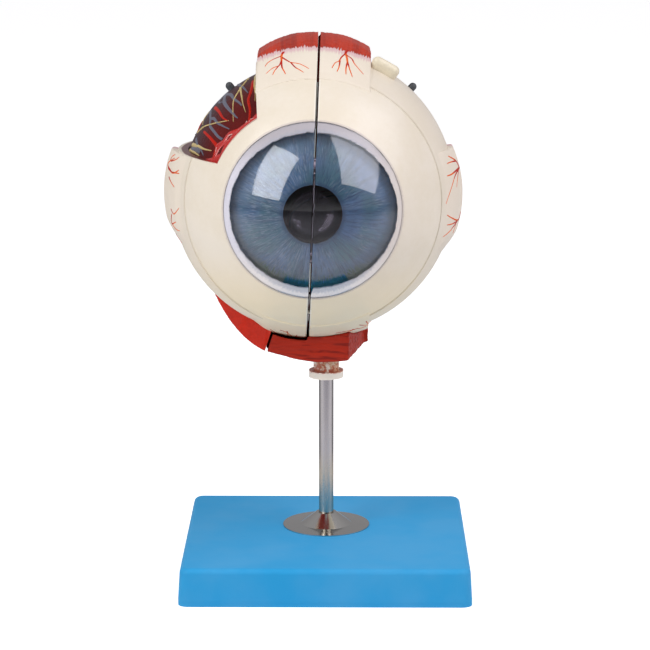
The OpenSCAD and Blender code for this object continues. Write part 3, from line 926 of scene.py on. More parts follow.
@dataclass(frozen=True)
class BasePlastic(Finish):
    """Moulded plastic with a soft orange peel and a little dust on its top."""

    dust_tone: Rgb = (0.30, 0.52, 0.72)

    def paint(self, sketch: ShaderSketch, shader: bpy.types.Node, eye: Eyeball) -> None:
        """Draws the base.

        Args:
            sketch: The material's tree.
            shader: The material's shader.
            eye: Not used.
        """
        place = sketch.object_place(MM)
        peel = sketch.noise(place, 0.5, 2.0)
        cloud = sketch.noise(place, 0.03, 3.0)
        dust = sketch.ramp(sketch.noise(place, 1.6, 4.0, 0.7), 0.62, 0.8)
        dust = sketch.times(dust, sketch.ramp(cloud, 0.4, 0.7))
        tone = sketch.cover(self.color, self.dust_tone, sketch.ramp(cloud, 0.3, 0.7), 0.12)
        tone = sketch.cover(tone, self.dust_tone, dust, 0.15)
        sketch.fill(shader.inputs["Base Color"], tone)
        spread = sketch.times(cloud, 0.12)
        sketch.fill(shader.inputs["Roughness"], sketch.plus(spread, self.roughness))
        sketch.fill(shader.inputs["Normal"], sketch.bump(peel, 0.00008, 0.5))


@dataclass(frozen=True)
class DrawnMetal(Finish):
    """Polished or drawn metal with marks along its height."""

    stretch: float = 0.04
    marks: float = 0.12
    warm_tone: Rgb = (0.60, 0.53, 0.42)
    warm_height: float = 0.0
    warm_fade: float = 16.0
    # rim: strength of the painted dark reflection along the metal's edges
    rim: float = 0.0
    rim_facing: Pair = (0.3, 1.0)
    rim_shade: float = 0.12

    def paint(self, sketch: ShaderSketch, shader: bpy.types.Node, eye: Eyeball) -> None:
        """Draws the metal.

        Args:
            sketch: The material's tree.
            shader: The material's shader.
            eye: Not used.
        """
        place = sketch.object_place(MM)
        drawn = sketch.vector("MULTIPLY", place, (2.0, 2.0, self.stretch))
        grain = sketch.noise(drawn, 1.0, 4.0, 0.6)
        self.vary_gloss(sketch, shader, grain, self.marks, 0.35)
        tone = sketch.cover(self.color, shaded(self.color, 0.7), grain, 0.25)
        # painted dark reflection: the colour darkens where the surface turns away from the camera
        facing = sketch.node("ShaderNodeLayerWeight", {"Blend": 0.5}).outputs["Facing"]
        rim = sketch.times(sketch.ramp(facing, *self.rim_facing), self.rim)
        tone = sketch.mix(rim, tone, shaded(self.color, self.rim_shade))
        if self.warm_height:
            height = sketch.split(place)[2]
            high = sketch.ramp(height, self.warm_height - self.warm_fade, self.warm_height)
            low = sketch.minus(1.0, high)
            tone = sketch.cover(tone, self.warm_tone, low, 0.7)
        sketch.fill(shader.inputs["Base Color"], tone)
        sketch.fill(shader.inputs["Normal"], sketch.bump(grain, 0.00002, 0.4))


@dataclass(frozen=True)
class CollarPaint(Finish):
    """Cream collar with a smear of red and brown paint on its top."""

    smear_tone: Rgb = (0.47, 0.085, 0.022)
    stain_tone: Rgb = (0.66, 0.36, 0.16)
    smear_height: float = 102.2
    smear_zone: Pair = (-0.8, 0.2)
    seam_rise: float = 0.6
    seam_zone: Pair = (1.6, 0.2)

    def paint(self, sketch: ShaderSketch, shader: bpy.types.Node, eye: Eyeball) -> None:
        """Draws the collar.

        Args:
            sketch: The material's tree.
            shader: The material's shader.
            eye: Not used.
        """
        place = sketch.object_place(MM)
        smear = sketch.noise(place, 0.3, 5.0, 0.7, 0.8)
        stain = sketch.noise(place, 0.12, 3.0, 0.6, 0.4)
        height = sketch.split(place)[2]
        up = sketch.ramp(height, *shifted(self.smear_zone, self.smear_height))
        wash = sketch.times(sketch.ramp(stain, 0.42, 0.6), up)
        tone = sketch.cover(self.color, self.stain_tone, wash, 0.8)
        seam = sketch.minus(height, self.smear_height + self.seam_rise)
        seam = sketch.math("ABSOLUTE", seam)
        seam = sketch.times(sketch.ramp(seam, *self.seam_zone), 0.09)
        mask = sketch.times(sketch.ramp(sketch.plus(smear, seam), 0.50, 0.56), up)
        tone = sketch.cover(tone, self.smear_tone, mask, 0.9)
        sketch.fill(shader.inputs["Base Color"], tone)
        sketch.fill(shader.inputs["Normal"], sketch.bump(smear, 0.0002, 0.5))


class Paint(Enum):
    """Every finish of the model."""

    COAT = WhiteCoat("coat_cream", (0.81, 0.735, 0.63), roughness=0.34, specular=0.35, coat=0.1)
    MUSCLE_TOP = MusclePaint("muscle_upper", (0.80, 0.72, 0.61), roughness=0.45, specular=0.12)
    MUSCLE_SIDE = MusclePaint(
        "muscle_side", (0.80, 0.715, 0.61), roughness=0.4, specular=0.2, red_angle=92.5, ragged=2.0
    )
    MUSCLE_LOW = MusclePaint(
        "muscle_lower",
        (0.94, 0.80, 0.57),
        roughness=0.4,
        specular=0.12,
        red_angle=95.5,
        fringe=1.0,
        ragged=1.0,
        front_tone=(0.90, 0.77, 0.555),
    )
    FLESH_BRIGHT = FleshPaint(
        "flesh_bright",
        (0.60, 0.026, 0.010),
        roughness=0.42,
        specular=0.1,
        streaks=0.15,
        turn=math.radians(-57),
    )
    FLESH_DARK = FleshPaint(
        "flesh_dark", (0.46, 0.030, 0.014), roughness=0.45, specular=0.12, turn=math.radians(3)
    )
    # dark red of the muscles' saw-cut faces: the cut flesh's colour, darkened further as painted
    # shade of the narrow saw gap
    FLESH_CUT = FleshPaint(
        "flesh_cut", (0.16, 0.010, 0.008), roughness=0.6, specular=0.05, streaks=0.3
    )
    TENDON = Finish("tendon_cream", (0.79, 0.71, 0.54), roughness=0.35, coat=0.2)
    VEIN_STUB = Finish("vein_stub_grey", (0.055, 0.062, 0.070), roughness=0.5)
    CHOROID = CoatPaint(
        "vascular_coat",
        (0.075, 0.005, 0.005),
        roughness=0.38,
        specular=0.1,
        second_tone=(0.12, 0.008, 0.007),
        rear_tone=(0.042, 0.015, 0.021),
    )
    RETINA = CoatPaint(
        "retina_orange",
        (0.62, 0.20, 0.08),
        roughness=0.35,
        coat=0.3,
        second_tone=(0.70, 0.28, 0.14),
    )
    CILIARY = CoatPaint(
        "ciliary_brown",
        (0.10, 0.028, 0.018),
        roughness=0.45,
        second_tone=(0.16, 0.045, 0.025),
        grain=1.2,
    )
    IRIS = IrisPaint("iris_blue", (0.115, 0.235, 0.47), roughness=0.4, coat=0.2)
    DOME = ClearCast("dome_clear", (0.97, 0.985, 1.0), roughness=0.01, ior=1.56)
    CLEAR = ClearCast("clear_body", (0.96, 0.98, 0.96), roughness=0.02, ior=1.34)
    # dark purple tint: painted shade, so the pupil reads as dark as the closed eye's inside
    LENS = ClearCast("lens_clear", (0.40, 0.35, 0.43), roughness=0.015, ior=1.47)
    RING = RingPaint("limbus_white", (0.70, 0.68, 0.76), roughness=0.3, coat=0.2)
    ARTERY = Finish("vessel_red", (0.48, 0.014, 0.005), roughness=0.4, specular=0.1)
    ARTERY_TIP = Finish("vessel_orange", (0.78, 0.13, 0.015), roughness=0.4, specular=0.1)
    VEIN = Finish("vessel_blue_grey", (0.12, 0.12, 0.165), roughness=0.35, specular=0.3)
    RETINA_VEIN = Finish("vessel_dark_red", (0.16, 0.010, 0.012), roughness=0.4, specular=0.2)
    NERVE = Finish("vessel_yellow", (0.60, 0.46, 0.19), roughness=0.35, specular=0.3)
    COAT_RED = Finish("coat_edge_red", (0.50, 0.012, 0.008), roughness=0.28, coat=0.4)
    PALE_LINE = Finish("coat_pale_line", (0.78, 0.52, 0.48), roughness=0.35, coat=0.3)
    NERVE_SHEATH = Finish("nerve_sheath", (0.76, 0.67, 0.46), roughness=0.4, coat=0.2)
    NERVE_CORE = Finish("nerve_core", (0.74, 0.55, 0.24), roughness=0.42, coat=0.2)
    # near black on the dome's sawn faces: painted shade of the dark gap between the halves
    SAWN = Finish("sawn_face", (0.03, 0.027, 0.03), roughness=0.6)
    BASE = BasePlastic("base_blue", (0.024, 0.33, 0.67), roughness=0.45, specular=0.15)
    BASE_SHEET = Finish("base_sheet", (0.06, 0.06, 0.065), roughness=0.7)
    CHROME = DrawnMetal(
        "flange_chrome",
        (0.56, 0.55, 0.53),
        roughness=0.13,
        metallic=1.0,
        marks=0.05,
        stretch=2.0,
        rim=0.6,
    )
    POLE = DrawnMetal(
        "pole_steel",
        (0.58, 0.55, 0.56),
        roughness=0.24,
        metallic=1.0,
        warm_height=62.0,
        rim=0.9,
        rim_facing=(0.22, 0.6),
    )
    ZINC = DrawnMetal("nut_zinc", (0.62, 0.62, 0.60), roughness=0.35, metallic=1.0, stretch=1.5)
    COLLAR = CollarPaint("collar_cream", (0.92, 0.84, 0.72), roughness=0.4, coat=0.1)

    def material(self, eye: Eyeball) -> bpy.types.Material:
        """The finish's material."""
        return self.value.build(eye)


# ---- Pieces ----


@dataclass
class Workshop:
    """Makes finished pieces and keeps what they share."""

    frame: dict
    eye: Eyeball
    camera: PhotoCamera
    made: list[str] = field(default_factory=list)

    def node(self, name: str) -> bpy.types.Object:
        """The CAD object of a node."""
        return self.frame["nodes"][name]

    def paint_node(self, name: str, paint: Paint) -> None:
        """Gives a CAD node a finish.

        Args:
            name: The node.
            paint: The finish.
        """
        for slot in self.node(name).material_slots:
            slot.material = paint.material(self.eye)
        self.made.append(name)

    def piece(
        self,
        mesh: bpy.types.Mesh,
        name: str,
        body: Body,
        slot: str,
        paints: Sequence[Paint],
        replaces: Iterable[str] = (),
    ) -> bpy.types.Object:
        """Turns a mesh into a finished piece.

        Args:
            mesh: The mesh, in scene metres.
            name: The piece's name.
            body: The body it rides on.
            slot: The record's material slot; not used.
            paints: Finishes, in the order of the mesh's material numbers.
            replaces: CAD nodes that the piece stands for.

        Returns:
            The piece.
        """
        mesh.name = name
        for paint in paints:
            mesh.materials.append(paint.material(self.eye))
        for polygon in mesh.polygons:
            polygon.use_smooth = True
        made = bpy.data.objects.new(name, mesh)
        bpy.context.scene.collection.objects.link(made)
        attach(made, body.value)
        if replaces:
            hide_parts(*replaces)
        self.made.append(name)
        LOG.info("%s: %d faces on %s", name, len(mesh.polygons), body.value)
        return made

    def merged(self, name: str) -> bmesh.types.BMesh:
        """A copy of a CAD node's mesh with its loose corners merged."""
        shape = bmesh.new()
        shape.from_mesh(self.node(name).data)
        bmesh.ops.remove_doubles(shape, verts=shape.verts, dist=MERGE_M)
        return shape


def to_mesh(shape: bmesh.types.BMesh, name: str) -> bpy.types.Mesh:
    """Ends a bmesh and returns its mesh."""
    mesh = bpy.data.meshes.new(name)
    shape.to_mesh(mesh)
    shape.free()
    return mesh


def recast(mesh: bpy.types.Mesh, voxel: float) -> bpy.types.Mesh:
    """Casts a closed mesh anew from even small faces.

    Args:
        mesh: The closed mesh.
        voxel: Size of the new faces, in metres.

    Returns:
        The new mesh.
    """
    blank = bpy.data.objects.new("blank", mesh)
    bpy.context.scene.collection.objects.link(blank)
    cast = blank.modifiers.new("cast", "REMESH")
    cast.mode = "VOXEL"
    cast.voxel_size = voxel
    seen = blank.evaluated_get(bpy.context.evaluated_depsgraph_get())
    result = bpy.data.meshes.new_from_object(seen)
    bpy.data.objects.remove(blank)
    return result


@dataclass(frozen=True)
class Relief:
    """Fibre relief on a cast muscle.

    It starts at an angle from the gaze, in degrees, and reaches its depth at a height over the
    white coat, in millimetres.
    """

    depth_mm: float
    stretch: tuple[float, float, float]
    turn: float = 0.0
    from_angle: float = 0.0
    fade: float = 4.0
    full_height: float = 2.0
    finer: float = 2.3


@dataclass(frozen=True)
class Taper:
    """A border at which a muscle runs out into the white coat, across one axis of the eyeball.

    The muscle has no height up to the edge and its full height from the full place on.
    """

    axis: int
    edge: float
    full: float

    def factor(self, place: Vector) -> float:
        """Finds how much of its height the muscle keeps at a place."""
        part = clamped((place[self.axis] - self.edge) / (self.full - self.edge))
        return part * part * (3 - 2 * part)


@dataclass(frozen=True)
class SawCut:
    """A flat cut across a muscle, with sharp edges and a step behind that closes the saw's gap.

    The normal points into the muscle that is kept. Distances are in millimetres. The step laps
    over the gap further back than the place behind, and stays below the outer face by its recess.
    """

    point: Vector
    normal: Vector
    gap: float
    lap: float = 0.0
    behind: float = -9.0
    reach: float = 0.65
    spare: float = 1.5
    recess: float = 0.0
    ease: float = 1.5
    recess_ease: float = 0.6

    def height(self, place: Vector) -> float:
        """Finds how far into the muscle a place lies."""
        return self.normal.dot(place - self.point)

    def stretch(self, place: Vector) -> Vector:
        """Moves a place on the bare cut outwards, so that the cast's rounding stays clear of it."""
        return place - self.normal * self.spare if self.height(place) < self.reach else place

    def trim(self, place: Vector, top: float) -> Vector | None:
        """Moves a place beyond the cut onto it.

        Args:
            place: A place on the cast muscle.
            top: The muscle's outer radius there.

        Returns:
            The place on the cut's face, or nothing if the place stays as it is.
        """
        part = clamped((place.y - self.behind) / self.ease)
        if self.recess:
            part *= clamped((top - self.recess - place.length) / self.recess_ease)
        missing = self.gap - self.lap * part - self.height(place)
        return place + self.normal * missing if missing > 0 else None


@dataclass(frozen=True)
class SoftMuscle:
    """A muscle's CAD node, cast anew with soft edges, sunk into the white coat and given fibres.

    A place less than the skin over the coat is sunk. The pocket gives a deeper skin, to the right
    of its first value.
    """

    node: str
    body: Body
    slot: str
    paint: Paint
    relief: Relief
    voxel_mm: float = 0.6
    rounds: int = 5
    sunk_r: float = 69.5
    skin: float = 0.4
    settle_depth: float = 0.45
    settle_reach: float = 2.0
    tapers: tuple[Taper, ...] = ()
    cut: SawCut | None = None
    cut_paint: Paint | None = None
    pocket: tuple[float, float] | None = None

    def build(self, shop: Workshop) -> bpy.types.Object:
        """Builds the muscle.

        Args:
            shop: The workshop with the CAD nodes.

        Returns:
            The piece, which replaces the node.
        """
        eye = shop.eye
        shape = shop.merged(self.node)
        for corner in shape.verts:
            place = eye.local(corner.co)
            if self.cut:
                place = self.cut.stretch(place)
            skin = self.skin
            if self.pocket and place.x > self.pocket[0]:
                skin = self.pocket[1]
            if place.length < eye.outer_r + skin:
                place = place.normalized() * self.sunk_r
            corner.co = eye.matrix @ place
        mesh = recast(to_mesh(shape, self.node), self.voxel_mm * MM)
        shape = bmesh.new()
        shape.from_mesh(mesh)
        axes = {f"use_axis_{axis}": True for axis in "xyz"}
        for _ in range(self.rounds):
            bmesh.ops.smooth_vert(shape, verts=shape.verts, factor=0.5, **axes)
        self.fit(shape, eye)
        self.settle(shape, eye)
        self.carve(shape, eye)
        paints = [self.paint]
        if self.cut:
            self.trim(shape, eye)
            paints.append(self.cut_paint)
        mesh = to_mesh(shape, self.node)
        return shop.piece(mesh, f"{self.node}_cast", self.body, self.slot, paints, [self.node])

    def trim(self, shape: bmesh.types.BMesh, eye: Eyeball) -> None:
        """Makes the saw's cut flat and sharp and gives its face the second material.

        Args:
            shape: The cast muscle, in scene metres.
            eye: The eyeball.
        """
        tops = defaultdict(float)
        for corner in shape.verts:
            place = eye.local(corner.co)
            if self.cut.height(place) < self.cut.gap:
                slice_y = round(place.y)
                tops[slice_y] = max(tops[slice_y], place.length)
        flat = set()
        for corner in shape.verts:
            place = eye.local(corner.co)
            trimmed = self.cut.trim(place, tops[round(place.y)])
            if trimmed:
                corner.co = eye.matrix @ trimmed
                flat.add(corner)
        for face in shape.faces:
            if all(corner in flat for corner in face.verts):
                face.material_index = 1
        for edge in shape.edges:
            if len({face.material_index for face in edge.link_faces}) > 1:
                edge.smooth = False

    def fit(self, shape: bmesh.types.BMesh, eye: Eyeball) -> None:
        """Thins the muscle at its tapers.

        Args:
            shape: The cast muscle, in scene metres.
            eye: The eyeball.
        """
        for corner in shape.verts:
            place = eye.local(corner.co)
            height = place.length - eye.outer_r
            if height > 0:
                for taper in self.tapers:
                    height *= taper.factor(place)
                corner.co = eye.matrix @ (place.normalized() * (eye.outer_r + height))

    def settle(self, shape: bmesh.types.BMesh, eye: Eyeball) -> None:
        """Sinks the thin parts of the border, so that the muscle rises out of the coat smoothly.

        Args:
            shape: The cast muscle, in scene metres.
            eye: The eyeball.
        """
        for corner in shape.verts:
            place = eye.local(corner.co)
            height = place.length - eye.outer_r
            if height < self.settle_reach:
                part = 1 - max(0.0, height) / self.settle_reach
                drop = self.settle_depth * part * part / place.length
                corner.co = eye.matrix @ (place * (1 - drop))

    def carve(self, shape: bmesh.types.BMesh, eye: Eyeball) -> None:
        """Carves fibres along the muscle into its outer faces.

        Args:
            shape: The cast muscle, in scene metres.
            eye: The eyeball.
        """
        shape.normal_update()
        turn = Matrix.Rotation(-self.relief.turn, 3, "Z")
        fibres = []
        for corner in shape.verts:
            place = eye.local(corner.co)
            angle = math.degrees(math.atan2(math.hypot(place.x, place.z), -place.y))
            fade = clamped((angle - self.relief.from_angle) / self.relief.fade)
            drawn = turn @ place
            drawn = Vector(part * factor for part, factor in zip(drawn, self.relief.stretch))
            wave = noise.noise(drawn) + 0.5 * noise.noise(drawn * self.relief.finer)
            outer = clamped((place.length - eye.outer_r) / self.relief.full_height)
            fibres.append(corner.normal * (wave * fade * outer * self.relief.depth_mm * MM))
        for corner, push in zip(shape.verts, fibres):
            corner.co += push


@dataclass(frozen=True)
class Turning:
    """A closed profile that is turned round the gaze and sawn at one side of the middle."""

    profile: tuple[Pair, ...]
    steps: int = 192

    def half(self, eye: Eyeball, side: Side, gap: float) -> bmesh.types.BMesh:
        """Turns the profile and keeps one half.

        Args:
            eye: The eyeball.
            side: The half to keep.
            gap: Distance of the saw's face from the middle, in millimetres.

        Returns:
            The half in scene metres, with material 1 on its sawn face.
        """
        shape = bmesh.new()
        corners = [shape.verts.new((across, -along, 0)) for across, along in self.profile]
        for start, end in zip(corners, corners[1:] + corners[:1]):
            shape.edges.new((start, end))
        bmesh.ops.spin(
            shape,
            geom=shape.verts[:] + shape.edges[:],
            cent=(0, 0, 0),
            axis=(0, 1, 0),
            angle=math.tau,
            steps=self.steps,
            use_merge=True,
        )
        bmesh.ops.remove_doubles(shape, verts=shape.verts, dist=1e-4)
        bmesh.ops.recalc_face_normals(shape, faces=shape.faces)
        away = Vector((-side.value, 0, 0))
        cut = bmesh.ops.bisect_plane(
            shape,
            geom=shape.verts[:] + shape.edges[:] + shape.faces[:],
            dist=1e-5,
            plane_co=(side.value * gap, 0, 0),
            plane_no=away,
            clear_outer=True,
        )["geom_cut"]
        rim = [part for part in cut if isinstance(part, bmesh.types.BMEdge)]
        lids = bmesh.ops.triangle_fill(shape, edges=rim, use_beauty=True, normal=away)["geom"]
        for part in lids:
            if isinstance(part, bmesh.types.BMFace):
                part.material_index = 1
                part.normal_update()
                if part.normal.dot(away) < 0:
                    part.normal_flip()
        bmesh.ops.transform(shape, matrix=eye.matrix, verts=shape.verts)
        sharpen(shape)
        return shape


def sharpen(shape: bmesh.types.BMesh, degrees: float = 35.0) -> None:
    """Makes a mesh's shading break at its edges above an angle."""
    for edge in shape.edges:
        edge.smooth = len(edge.link_faces) == 2 and edge.calc_face_angle() < math.radians(degrees)


def arc(radius: float, centre: float, low: float, high: float, steps: int) -> list[Pair]:
    """Walks along an arc of a ball on the gaze.

    Args:
        radius: The ball's radius.
        centre: Its place along the gaze.
        low: Distance from the gaze at the start.
        high: Distance from the gaze at the end.
        steps: Steps on the way.

    Returns:
        Places as distance from the gaze and place along it.
    """
    turns = [math.asin(value / radius) for value in (low, high)]
    walk = [turns[0] + (turns[1] - turns[0]) * step / steps for step in range(steps + 1)]
    return [(radius * math.sin(turn), centre + radius * math.cos(turn)) for turn in walk]


# ---- Strokes on surfaces ----


@dataclass(frozen=True)
class Stroke:
    """A tapering stroke through a few places.

    The places are pixels of the photograph, or azimuths and elevations in degrees where it
    doesn't show the surface.
    """

    places: tuple[Pair, ...]
    start_mm: float
    end_mm: float = 0.28

    def scaled(self, factor: float) -> "Stroke":
        """The same stroke with a broader or finer brush."""
        return Stroke(self.places, self.start_mm * factor, self.end_mm * factor)


def smooth_route(places: Sequence[Pair], per_span: int) -> list[Pair]:
    """Runs a smooth curve through a few places.

    Args:
        places: The places to pass.
        per_span: Steps from one place to the next.

    Returns:
        The curve's places, in order.
    """
    padded = [places[0], *places, places[-1]]
    route = []
    for index in range(1, len(padded) - 2):
        before, start, end, after = (Vector(padded[index + step]) for step in (-1, 0, 1, 2))
        for step in range(per_span):
            t = step / per_span
            bend = (end - before) * 0.5 * t
            bend += (2 * before - 5 * start + 4 * end - after) * 0.5 * t * t
            bend += (3 * start - before - 3 * end + after) * 0.5 * t**3
            route.append(tuple(start + bend))
    route.append(tuple(places[-1]))
    return route


@dataclass
class Skin:
    """A surface that strokes are laid on, as thin ribbons that are sunk at their borders."""

    shop: Workshop
    tree: BVHTree
    far_mm: float = 120.0
    strips: int = 4
    sunk_mm: float = 0.04
    thin_rise: float = 0.3
    first_part: float = 0.4

    @classmethod
    def of(cls, shop: Workshop, *objects: bpy.types.Object) -> "Skin":
        """Takes the surfaces of some objects together."""
        shape = bmesh.new()
        for one in objects:
            shape.from_mesh(one.data)
        skin = cls(shop, BVHTree.FromBMesh(shape))
        shape.free()
        return skin

    def hit(self, start: Vector, aim: Vector) -> Hit | None:
        """Finds the place and normal where a ray meets the surface."""
        place, normal, _, _ = self.tree.ray_cast(start, aim)
        return (place, normal) if place else None

    def seen_at(self, pixel: Pixel) -> Hit | None:
        """Finds the place and normal that the photograph shows at a pixel."""
        camera = self.shop.camera
        return self.hit(camera.location, camera.ray(pixel))

    def outside_at(self, direction: Pair) -> Hit | None:
        """Finds the place and normal on the outside, at an azimuth and an elevation."""
        eye = self.shop.eye
        start = eye.matrix @ (eye.aim(*direction) * self.far_mm)
        return self.hit(start, (eye.place(0, 0, 0) - start).normalized())

    def inside_at(self, direction: Pair) -> Hit | None:
        """Finds the place and normal on the inside, at an azimuth and an elevation."""
        eye = self.shop.eye
        centre = eye.place(0, 0, 0)
        return self.hit(centre, (eye.matrix @ eye.aim(*direction) - centre).normalized())

    def lay(
        self,
        shape: bmesh.types.BMesh,
        stroke: Stroke,
        rise_mm: float,
        find: Callable[[Pair], Hit | None],
        paints: tuple[int, int] = (0, 0),
        per_span: int = 6,
    ) -> None:
        """Lays a stroke on the surface as a thin, rounded ribbon.

        Args:
            shape: The bmesh that the ribbon joins.
            stroke: The stroke.
            rise_mm: Height of its middle over the surface.
            find: Finds the surface at one of the stroke's places.
            paints: Material numbers of its first part and of the rest.
            per_span: Steps from one of its places to the next.
        """
        route = [found for found in map(find, smooth_route(stroke.places, per_span)) if found]
        if len(route) < 3:
            LOG.warning("a stroke at %s misses its surface", stroke.places[0])
            return
        count = len(route) - 1
        cells = {"x_segments": count, "y_segments": self.strips}
        grid = bmesh.ops.create_grid(shape, **cells, size=0.5)["verts"]
        for corner in grid:
            step = round((corner.co.x + 0.5) * count)
            across = corner.co.y * 2
            point, normal = route[step]
            ahead = route[min(step + 1, count)][0] - route[max(step - 1, 0)][0]
            aside = normal.cross(ahead).normalized()
            part = step / count
            width = (stroke.start_mm + (stroke.end_mm - stroke.start_mm) * part) * MM
            rise = rise_mm * MM * (1 - across * across) * min(1.0, self.thin_rise + width / MM)
            lift = rise - self.sunk_mm * MM
            corner.co = point + aside * (across * width / 2) + normal * lift
        for face in {face for corner in grid for face in corner.link_faces}:
            middle = face.calc_center_median()
            gaps = [(place - middle).length_squared for place, _ in route]
            nearest = gaps.index(min(gaps))
            face.material_index = paints[0] if nearest < count * self.first_part else paints[1]
            face.normal_update()
            if face.normal.dot(route[nearest][1]) < 0:
                face.normal_flip()


# ---- Sub-assemblies ----


@dataclass
class Stand:
    """The base, the flange, the pole with its washer and nut, and the collar."""

    shop: Workshop

    def dress(self) -> None:
        """Finishes the stand's nodes."""
        finishes = {
            "base_shell": Paint.BASE,
            "base_pad": Paint.BASE_SHEET,
            "pole_flange": Paint.CHROME,
            "pole_washer": Paint.ZINC,
            "pole_nut": Paint.ZINC,
            "pole": Paint.POLE,
            "pole_socket": Paint.COLLAR,
        }
        for name, paint in finishes.items():
            self.shop.paint_node(name, paint)


@dataclass
class Coats:
    """The white coat, the inner coats, the clear body and the optic nerve."""

    shop: Workshop

    def dress(self) -> None:
        """Finishes the coats' nodes."""
        finishes = {
            "sclera_left": Paint.COAT,
            "sclera_right": Paint.COAT,
            "vortex_veins_right": Paint.VEIN_STUB,
            "vortex_vein_lower_left": Paint.VEIN_STUB,
            "vortex_vein_upper_left": Paint.VEIN_STUB,
            "optic_nerve_sheath": Paint.NERVE_SHEATH,
            "optic_nerve_core": Paint.NERVE_CORE,
            "locating_pegs": Paint.TENDON,
            "choroid_left": Paint.CHOROID,
            "choroid_right": Paint.CHOROID,
            "retina_left": Paint.RETINA,
            "retina_right": Paint.RETINA,
            "ciliary_body_left": Paint.CILIARY,
            "ciliary_body_right": Paint.CILIARY,
            "iris_left": Paint.IRIS,
            "iris_right": Paint.IRIS,
            "vitreous_shell": Paint.CLEAR,
            "vitreous_front": Paint.CLEAR,
            "lens": Paint.LENS,
        }
        for name, paint in finishes.items():
            self.shop.paint_node(name, paint)


@dataclass
class Dome:
    """The clear dome in two sawn halves, and the white ring painted on its border."""

    shop: Workshop
    wall: float = 2.0
    base_along: float = 56.79
    seat: float = 4.0
    rim_r: float = 41.05
    ring_centre_px: Pixel = (313.5, 210.2)
    ring_radii_px: Pixel = (83.9, 77.2)
    ring_rise: float = 0.12
    ring_sunk: float = 0.04
    ring_inset: float = 0.03
    ring_spare: float = 0.02
    ring_cells: tuple[int, int] = (320, 4)
    arc_steps: int = 40
    waves: Pair = (9.0, 34.0)
    fine_part: float = 0.8
    raggedness: float = 0.010

    def build(self) -> None:
        """Builds the dome's halves and the ring's."""
        for side, body in ((Side.LEFT, Body.REMOVABLE), (Side.RIGHT, Body.FIXED)):
            self.build_half(side, body)
            self.build_ring(side, body)

    def build_half(self, side: Side, body: Body) -> None:
        """Turns and saws one half of the dome."""
        eye = self.shop.eye
        steps = self.arc_steps
        outer = arc(eye.dome_r, eye.dome_along, 0.0, eye.cornea_r, steps)
        inner = arc(eye.dome_r - self.wall, eye.dome_along, self.rim_r, 0.0, steps)
        foot = self.base_along - self.seat
        profile = (*outer, (eye.cornea_r, foot), (self.rim_r, foot), *inner)
        shape = Turning(profile).half(eye, side, eye.half_gap)
        mesh, word = to_mesh(shape, "dome"), side.word
        paints = [Paint.DOME, Paint.SAWN]
        self.shop.piece(mesh, f"dome_{word}", body, "clear_dome", paints, [f"cornea_{word}"])

    def build_ring(self, side: Side, body: Body) -> None:
        """Paints one half of the ring on the dome."""
        eye = self.shop.eye
        shape = bmesh.new()
        around, across = self.ring_cells
        cells = {"x_segments": around, "y_segments": across}
        for corner in bmesh.ops.create_grid(shape, **cells, size=0.5)["verts"]:
            turn = math.pi * (corner.co.x + 0.5) * side.value
            part = corner.co.y + 0.5
            inner = self.inner_edge(turn)
            outer = Vector((math.sin(turn), math.cos(turn))) * (eye.cornea_r - self.ring_inset)
            x, z = inner.lerp(outer, part)
            x = side.value * max(abs(x), eye.half_gap + self.ring_spare)
            lift = self.ring_rise * (1 - (2 * part - 1) ** 4) - self.ring_sunk
            radius = eye.dome_r + lift
            y = -(eye.dome_along + math.sqrt(max(0.0, radius**2 - x * x - z * z)))
            corner.co = eye.place(x, y, z)
        for face in shape.faces:
            face.normal_update()
            if (eye.matrix.to_3x3().inverted() @ face.normal).y > 0:
                face.normal_flip()
        mesh = to_mesh(shape, "ring")
        self.shop.piece(mesh, f"limbus_ring_{side.word}", body, "cream_resin", [Paint.RING])

    def inner_edge(self, turn: float) -> Vector:
        """Finds the ring's inner edge on the dome.

        Args:
            turn: Angle round the gaze, from the top to the right.

        Returns:
            The edge's place across the gaze, as x and z.
        """
        eye, camera = self.shop.eye, self.shop.camera
        middle, radii = self.ring_centre_px, self.ring_radii_px
        aside, up = math.sin(turn), math.cos(turn)
        pixel = (middle[0] + radii[0] * aside, middle[1] - radii[1] * up)
        place = eye.local(camera.on_dome(pixel, eye))
        broad, fine = self.waves
        ragged = noise.noise(Vector((aside * broad, up * broad, 2.0)))
        ragged += self.fine_part * noise.noise(Vector((aside * fine, up * fine, 5.0)))
        return Vector((place.x, place.z)) * (1 + self.raggedness * ragged)


# Strokes on the muscles and in the window pass through pixels of the photograph. Those on the
# vascular coat's rear and on the retina pass through azimuths and elevations in degrees. A
# stroke's first and last width are in millimetres.
MUSCLE_UPPER_LEFT = (
    Stroke(((283.6, 51.8), (281.6, 55.5), (281.6, 61.5)), 1.0, 0.6),
    Stroke(((281.4, 56), (274, 59), (268, 62.6), (265, 66.6)), 0.6),
    Stroke(((281.4, 61), (279, 65.6), (273, 68), (266, 73.6)), 0.65),
    Stroke(((278.5, 66), (274.5, 71), (272.6, 75)), 0.5),
    Stroke(((281.4, 60), (282, 67), (284, 71), (285.6, 74)), 0.6),
    Stroke(((282.2, 57.5), (288, 61), (291, 62.4), (300, 64), (309, 68.6)), 0.6),
    Stroke(((291, 62.6), (295, 67), (300, 70), (303.6, 72.4)), 0.5),
)
MUSCLE_UPPER_RIGHT = (
    Stroke(((348, 50.2), (345.6, 53), (347, 58), (347.6, 64)), 0.9, 0.6),
    Stroke(((345.5, 53.6), (341.6, 57), (339, 61), (335, 63), (332, 68)), 0.6),
    Stroke(((340, 60.5), (339, 67), (337, 71.6)), 0.5),
    Stroke(((347.6, 62), (346, 68), (346, 74.4)), 0.6),
    Stroke(((347.6, 62), (349.6, 69), (352.4, 77)), 0.55),
    Stroke(((346.6, 55), (352, 59), (354, 63), (358, 68), (363.6, 74.4)), 0.6),
)
